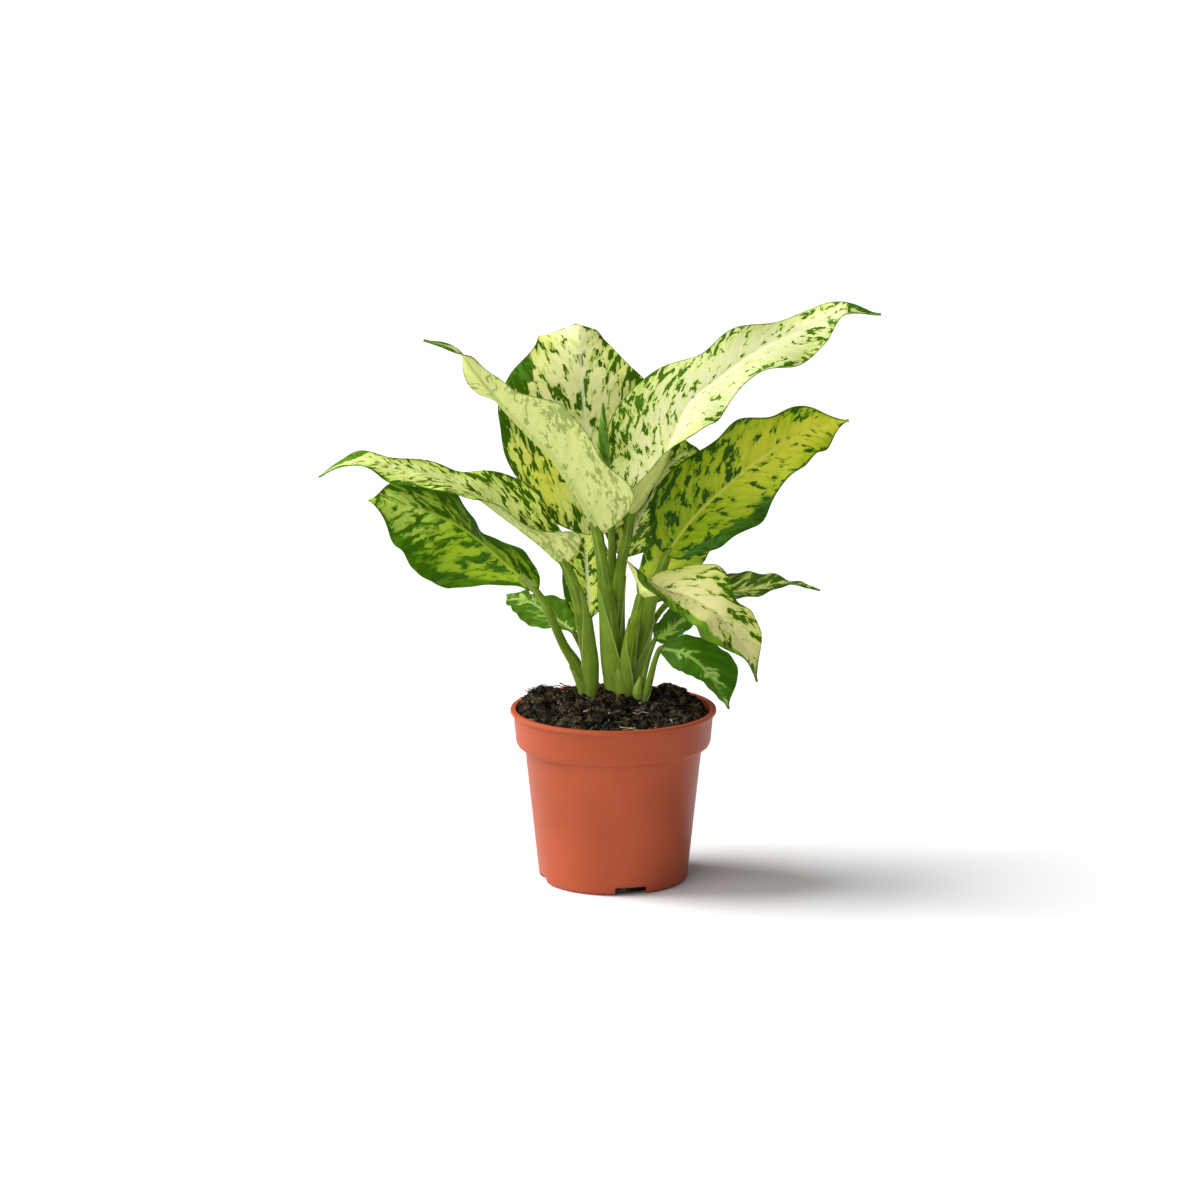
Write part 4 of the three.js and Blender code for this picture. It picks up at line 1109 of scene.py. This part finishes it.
def make_pot():
    """The pot with a thickened wall round each notch, which its own filled body trims."""
    pot = turned("pot", POT_OUTSIDE + POT_INSIDE, POT_STEPS)
    wall = POT_OUTSIDE[:POT_WALL_POINTS]
    filled = turned("pot_filled", wall + [(0, wall[-1][1])], POT_STEPS)
    turns = [Matrix.Rotation(NOTCH_TURN + i * math.pi / 2, 4, "Z") for i in range(NOTCHES)]
    block_width = NOTCH_WIDTH + 2 * NOTCH_WALL
    block_top = NOTCH_HEIGHT + NOTCH_WALL
    for turn in turns:
        block = notch_tool(block_width, 0.001, block_top, NOTCH_INNER - NOTCH_WALL, turn)
        body = filled.copy()
        body.data = filled.data.copy()
        scene.collection.objects.link(body)
        combine(block, body, "INTERSECT")
        combine(pot, block, "UNION")
    for turn in turns:
        combine(pot, notch_tool(NOTCH_WIDTH, -1, NOTCH_HEIGHT, NOTCH_INNER, turn), "DIFFERENCE")
        combine(pot, drain_tool(turn), "DIFFERENCE")
    bpy.data.objects.remove(filled)
    apply_modifier(
        pot, "BEVEL", width=0.35 * MM, segments=2, limit_method="ANGLE", angle_limit=math.radians(50),
    )
    pot.data.materials.clear()
    pot.data.materials.append(pot_finish())
    smooth(pot, 35)
    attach(pot, "root")
    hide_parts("pot")


make_pot()


# ---------------------------------------------------------------- compost

SOIL_LEVEL = 97.6
SOIL_TOP = 105
SOIL_RADIUS = 56
SOIL_STEPS = 220

# The mound round the canes: its place, reach and height.
MOUND = (1, 19, 21, 6.2)

# Lumps of the surface: how many small ones there are, and the place, size and rise of large ones.
SMALL_LUMPS = 90
LARGE_LUMPS = [(-49, 2, 8, 4), (40, 16, 6, 4), (-37, 17, 15, 5.5), (-45, -4, 9, 3), (33, 27, 11, 3.5)]


def lump_draws(state):
    """The part's own row of random draws, so that the small lumps lie as they do there."""
    while True:
        state = (state * 1664525 + 1013904223) % 4294967296
        yield state / 4294967296


def make_relief():
    """The height of the surface, as a function of a place on it."""
    draws = lump_draws(41)
    lumps = []
    for _ in range(SMALL_LUMPS):
        radius = 54 * math.sqrt(next(draws))
        angle = 2 * math.pi * next(draws)
        size = 3.5 + 4 * next(draws)
        rise = -1.6 + 3.6 * next(draws)
        lumps.append((radius * math.cos(angle), radius * math.sin(angle), size, rise))
    lumps += LARGE_LUMPS

    def relief(x, y):
        away = math.hypot(x - MOUND[0], y - MOUND[1]) / MOUND[2]
        height = SOIL_LEVEL + MOUND[3] * math.exp(-away * away / 2)
        for lx, ly, size, rise in lumps:
            share = math.hypot(x - lx, y - ly) / size
            if share < 3:
                height += rise * math.exp(-share * share)
        return min(height, SOIL_TOP)
    return relief


relief = make_relief()


def soil_finish(name, dull, bright, speck):
    """Rough matter: clods of two tones with bright specks, which on the compost are partly grit and partly
    painted glints.
    """
    finish = Finish(name)
    place = finish.coordinates("Object")
    clods = finish.grain(place, 190, 4.0, 0.7)
    grit = finish.grain(place, 1100, 4.0, 0.7)
    colour = finish.mix(finish.step(clods, 0.46, 0.64), dull, bright)
    # Bright specks: on the compost these are partly pale grit and partly painted glints of light.
    colour = finish.mix(finish.step(grit, 0.57, 0.72), colour, speck)
    bump = finish.bump(grit, 0.0014, 1.0)
    return finish.show(finish.gloss(colour, 0.8, bump, Specular_IOR_Level=0.1))


# The compost's pale speck tone is partly pale grit and partly painted glints.
SOIL_FINISH = soil_finish("compost", tone(2, 1, 0), tone(84, 70, 48), tone(196, 176, 142))
FIBRE_FINISH = soil_finish("compost_fibre", tone(30, 22, 15), tone(76, 60, 42), tone(126, 106, 80))
ROOT_FINISH = soil_finish("compost_root", tone(190, 170, 136), tone(220, 206, 176), tone(232, 222, 198))
GRIT_FINISH = soil_finish("compost_grit", tone(196, 190, 178), tone(226, 222, 212), tone(236, 233, 226))


def make_soil():
    """The compost, which fills the pot; its surface is crumbly and sinks a little at the wall."""
    side = [(0, 1.9), (40.4, 1.9), (49.9, 80.6), (52.6, 81.4), (55, 84.5), (56.3, 96)]
    rings = [SOIL_RADIUS - 0.8 * i for i in range(70)] + [0]
    soil = turned("soil", side + [(r, SOIL_LEVEL) for r in rings], SOIL_STEPS)
    places = read_places(soil.data) / MM
    for place in places:
        if place[2] > SOIL_LEVEL - 0.01:
            x, y = place[0], place[1]
            crumb = noise.fractal(Vector((x, y, 3)) / 4.5, 0.6, 2.1, 5)
            inside = min(1, max(0, (SOIL_RADIUS - math.hypot(x, y)) / 3))
            place[2] = relief(x, y) + 1.6 * crumb * (0.3 + 0.7 * inside) - 1.4 * (1 - inside)
    write_places(soil.data, places * MM)
    soil.data.materials.append(SOIL_FINISH)
    smooth(soil, 50)
    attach(soil, "root")
    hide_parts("soil")


def chunk(name, level, seed, stretch=(1, 1, 1)):
    """A rough lump with a radius of one millimetre."""
    bpy.ops.mesh.primitive_ico_sphere_add(subdivisions=level, radius=MM)
    piece = newest(name)
    places = read_places(piece.data)
    for place in places:
        rough = noise.noise(Vector(place) / MM * 1.3 + Vector((seed, 0, 0)))
        rough += 0.45 * noise.noise(Vector(place) / MM * 3.4 + Vector((0, seed, 0)))
        place *= 1 + 0.6 * rough
    write_places(piece.data, places * np.array(stretch))
    return piece


# A full turn, as the draws round it off.
FULL_TURN = 6.28


def scatter(
    name, templates, finish, count, seed, sizes, lift, spread, inner=0, arc=(0, FULL_TURN), tilt=FULL_TURN,
):
    """Strews copies of the templates over the surface and joins them.

    They lie between the radii inner and spread and between the two angles of arc. Most are near
    the lesser of the two sizes. Each is raised by lift times its size and tilted by up to tilt.
    """
    draw = random.Random(seed)
    made = []
    for _ in range(count):
        template = draw.choice(templates)
        radius = math.sqrt(inner ** 2 + (spread ** 2 - inner ** 2) * draw.random())
        angle = draw.uniform(*arc)
        x, y = radius * math.cos(angle), radius * math.sin(angle)
        size = sizes[0] + (sizes[1] - sizes[0]) * draw.random() ** 2.5
        turn = Matrix.Rotation(draw.uniform(0, FULL_TURN), 4, "Z")
        turn = turn @ Matrix.Rotation(draw.uniform(-tilt, tilt), 4, "X")
        place = Matrix.Translation(Vector((x, y, relief(x, y) + size * lift)) * MM)
        piece = template.copy()
        piece.data = template.data.copy()
        piece.data.transform(place @ turn @ Matrix.Scale(size, 4))
        scene.collection.objects.link(piece)
        made.append(piece)
    for template in templates:
        bpy.data.objects.remove(template)
    piece = join(name, made)
    piece.data.materials.clear()
    piece.data.materials.append(finish)
    smooth(piece, 40)
    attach(piece, "root")


def strand(name, bends, radius, seed):
    """A bent fibre or rootlet, one millimetre long and thinner at its end."""
    draw = random.Random(seed)
    path = []
    for i in range(bends + 1):
        path.append((i / bends - 0.5, draw.uniform(-0.16, 0.16), draw.uniform(-0.02, 0.12)))
    return tube(name, path, [radius] * bends + [radius * 0.5], 5, 3 * bends)


def dress_soil():
    """Clods, heaps by the wall, crumbs, pale grit, fibres, long stray fibres and rootlets."""
    clods = [chunk(f"clod_{i}", 2, i * 3.1, (1, 0.9, 0.75)) for i in range(6)]
    scatter("soil_clods", clods, SOIL_FINISH, 420, 5, sizes=(1.5, 6.2), lift=0.15, spread=53)
    for i, (arc, count) in enumerate((((1.9, 3.7), 60), ((0.1, 0.9), 24))):
        clods = [chunk(f"heap_{k}", 2, k * 2.9 + i, (1, 0.9, 0.8)) for k in range(5)]
        scatter(
            f"soil_heap_{i}", clods, SOIL_FINISH, count, 12 + i, sizes=(2.5, 5.5), lift=0.55,
            spread=52, inner=42, arc=arc,
        )
    crumbs = [chunk(f"crumb_{i}", 1, i * 2.3) for i in range(6)]
    scatter("soil_crumbs", crumbs, SOIL_FINISH, 2200, 6, sizes=(0.4, 1.5), lift=0.5, spread=55)
    grit = [chunk(f"grit_{i}", 1, i * 1.7) for i in range(3)]
    scatter("soil_grit", grit, GRIT_FINISH, 150, 7, sizes=(0.3, 0.8), lift=1.6, spread=53)
    fibres = [strand(f"fibre_{i}", 3, 0.014, 20 + i) for i in range(6)]
    scatter("soil_fibres", fibres, FIBRE_FINISH, 300, 8, sizes=(5, 15), lift=0.12, spread=52, tilt=0.5)
    strays = [strand(f"stray_{i}", 3, 0.028, 60 + i) for i in range(5)]
    scatter(
        "soil_strays", strays, FIBRE_FINISH, 56, 15, sizes=(6, 11), lift=0.6,
        spread=54, inner=44, arc=(1.7, 3.9), tilt=1.3,
    )
    roots = [strand(f"root_{i}", 4, 0.018, 40 + i) for i in range(4)]
    scatter("soil_roots", roots, ROOT_FINISH, 54, 9, sizes=(6, 14), lift=0.18, spread=50, tilt=0.45)


make_soil()
dress_soil()


# ---------------------------------------------------------------- camera, floor and light

# The camera and the floor are measured in metres.
CAMERA_DISTANCE = 3.0
CAMERA_TARGET = Vector((-0.0078, 0, 0.166))
CAMERA_ELEVATION = math.radians(12.4)
CAMERA_LENS = 155.25
FLOOR_SIZE = 60

# Each light: where it comes from, how widely it spreads in degrees, and its strength.
LIGHTS = {
    "key": ((-1.4, 0.22, 1.45), 36, 4.6),
    "fill": ((-1.05, -1.05, 0.6), 80, 2.2),
}
WORLD_STRENGTH = 0.18


def make_camera():
    camera = bpy.data.cameras.new("camera")
    holder = bpy.data.objects.new("camera", camera)
    scene.collection.objects.link(holder)
    back = Vector((0, -math.cos(CAMERA_ELEVATION), math.sin(CAMERA_ELEVATION)))
    holder.location = CAMERA_TARGET + CAMERA_DISTANCE * back
    holder.rotation_euler = (-back).to_track_quat("-Z", "Y").to_euler()
    camera.lens = CAMERA_LENS
    camera.sensor_width = 36
    camera.clip_end = 100
    scene.camera = holder


def make_floor():
    bpy.ops.mesh.primitive_plane_add(size=FLOOR_SIZE)
    floor = newest("floor")
    finish = Finish("floor_white")
    white = finish.gloss(tone(232, 232, 232), 0.95, Specular_IOR_Level=0.1)
    floor.data.materials.append(finish.show(white))


def make_light(name, place, spread, strength):
    """A soft light so far away that it falls evenly over the floor."""
    light = bpy.data.lights.new(name, "SUN")
    light.angle = math.radians(spread)
    light.energy = strength
    holder = bpy.data.objects.new(name, light)
    holder.location = place
    holder.rotation_euler = (-Vector(place)).to_track_quat("-Z", "Y").to_euler()
    scene.collection.objects.link(holder)


def make_world():
    world = bpy.data.worlds.new("studio") if scene.world is None else scene.world
    scene.world = world
    world.use_nodes = True
    background = world.node_tree.nodes["Background"]
    background.inputs["Color"].default_value = (1, 1, 1, 1)
    background.inputs["Strength"].default_value = WORLD_STRENGTH


make_camera()
make_floor()
for name, light in LIGHTS.items():
    make_light(name, *light)
make_world()
scene.view_settings.view_transform = "Standard"
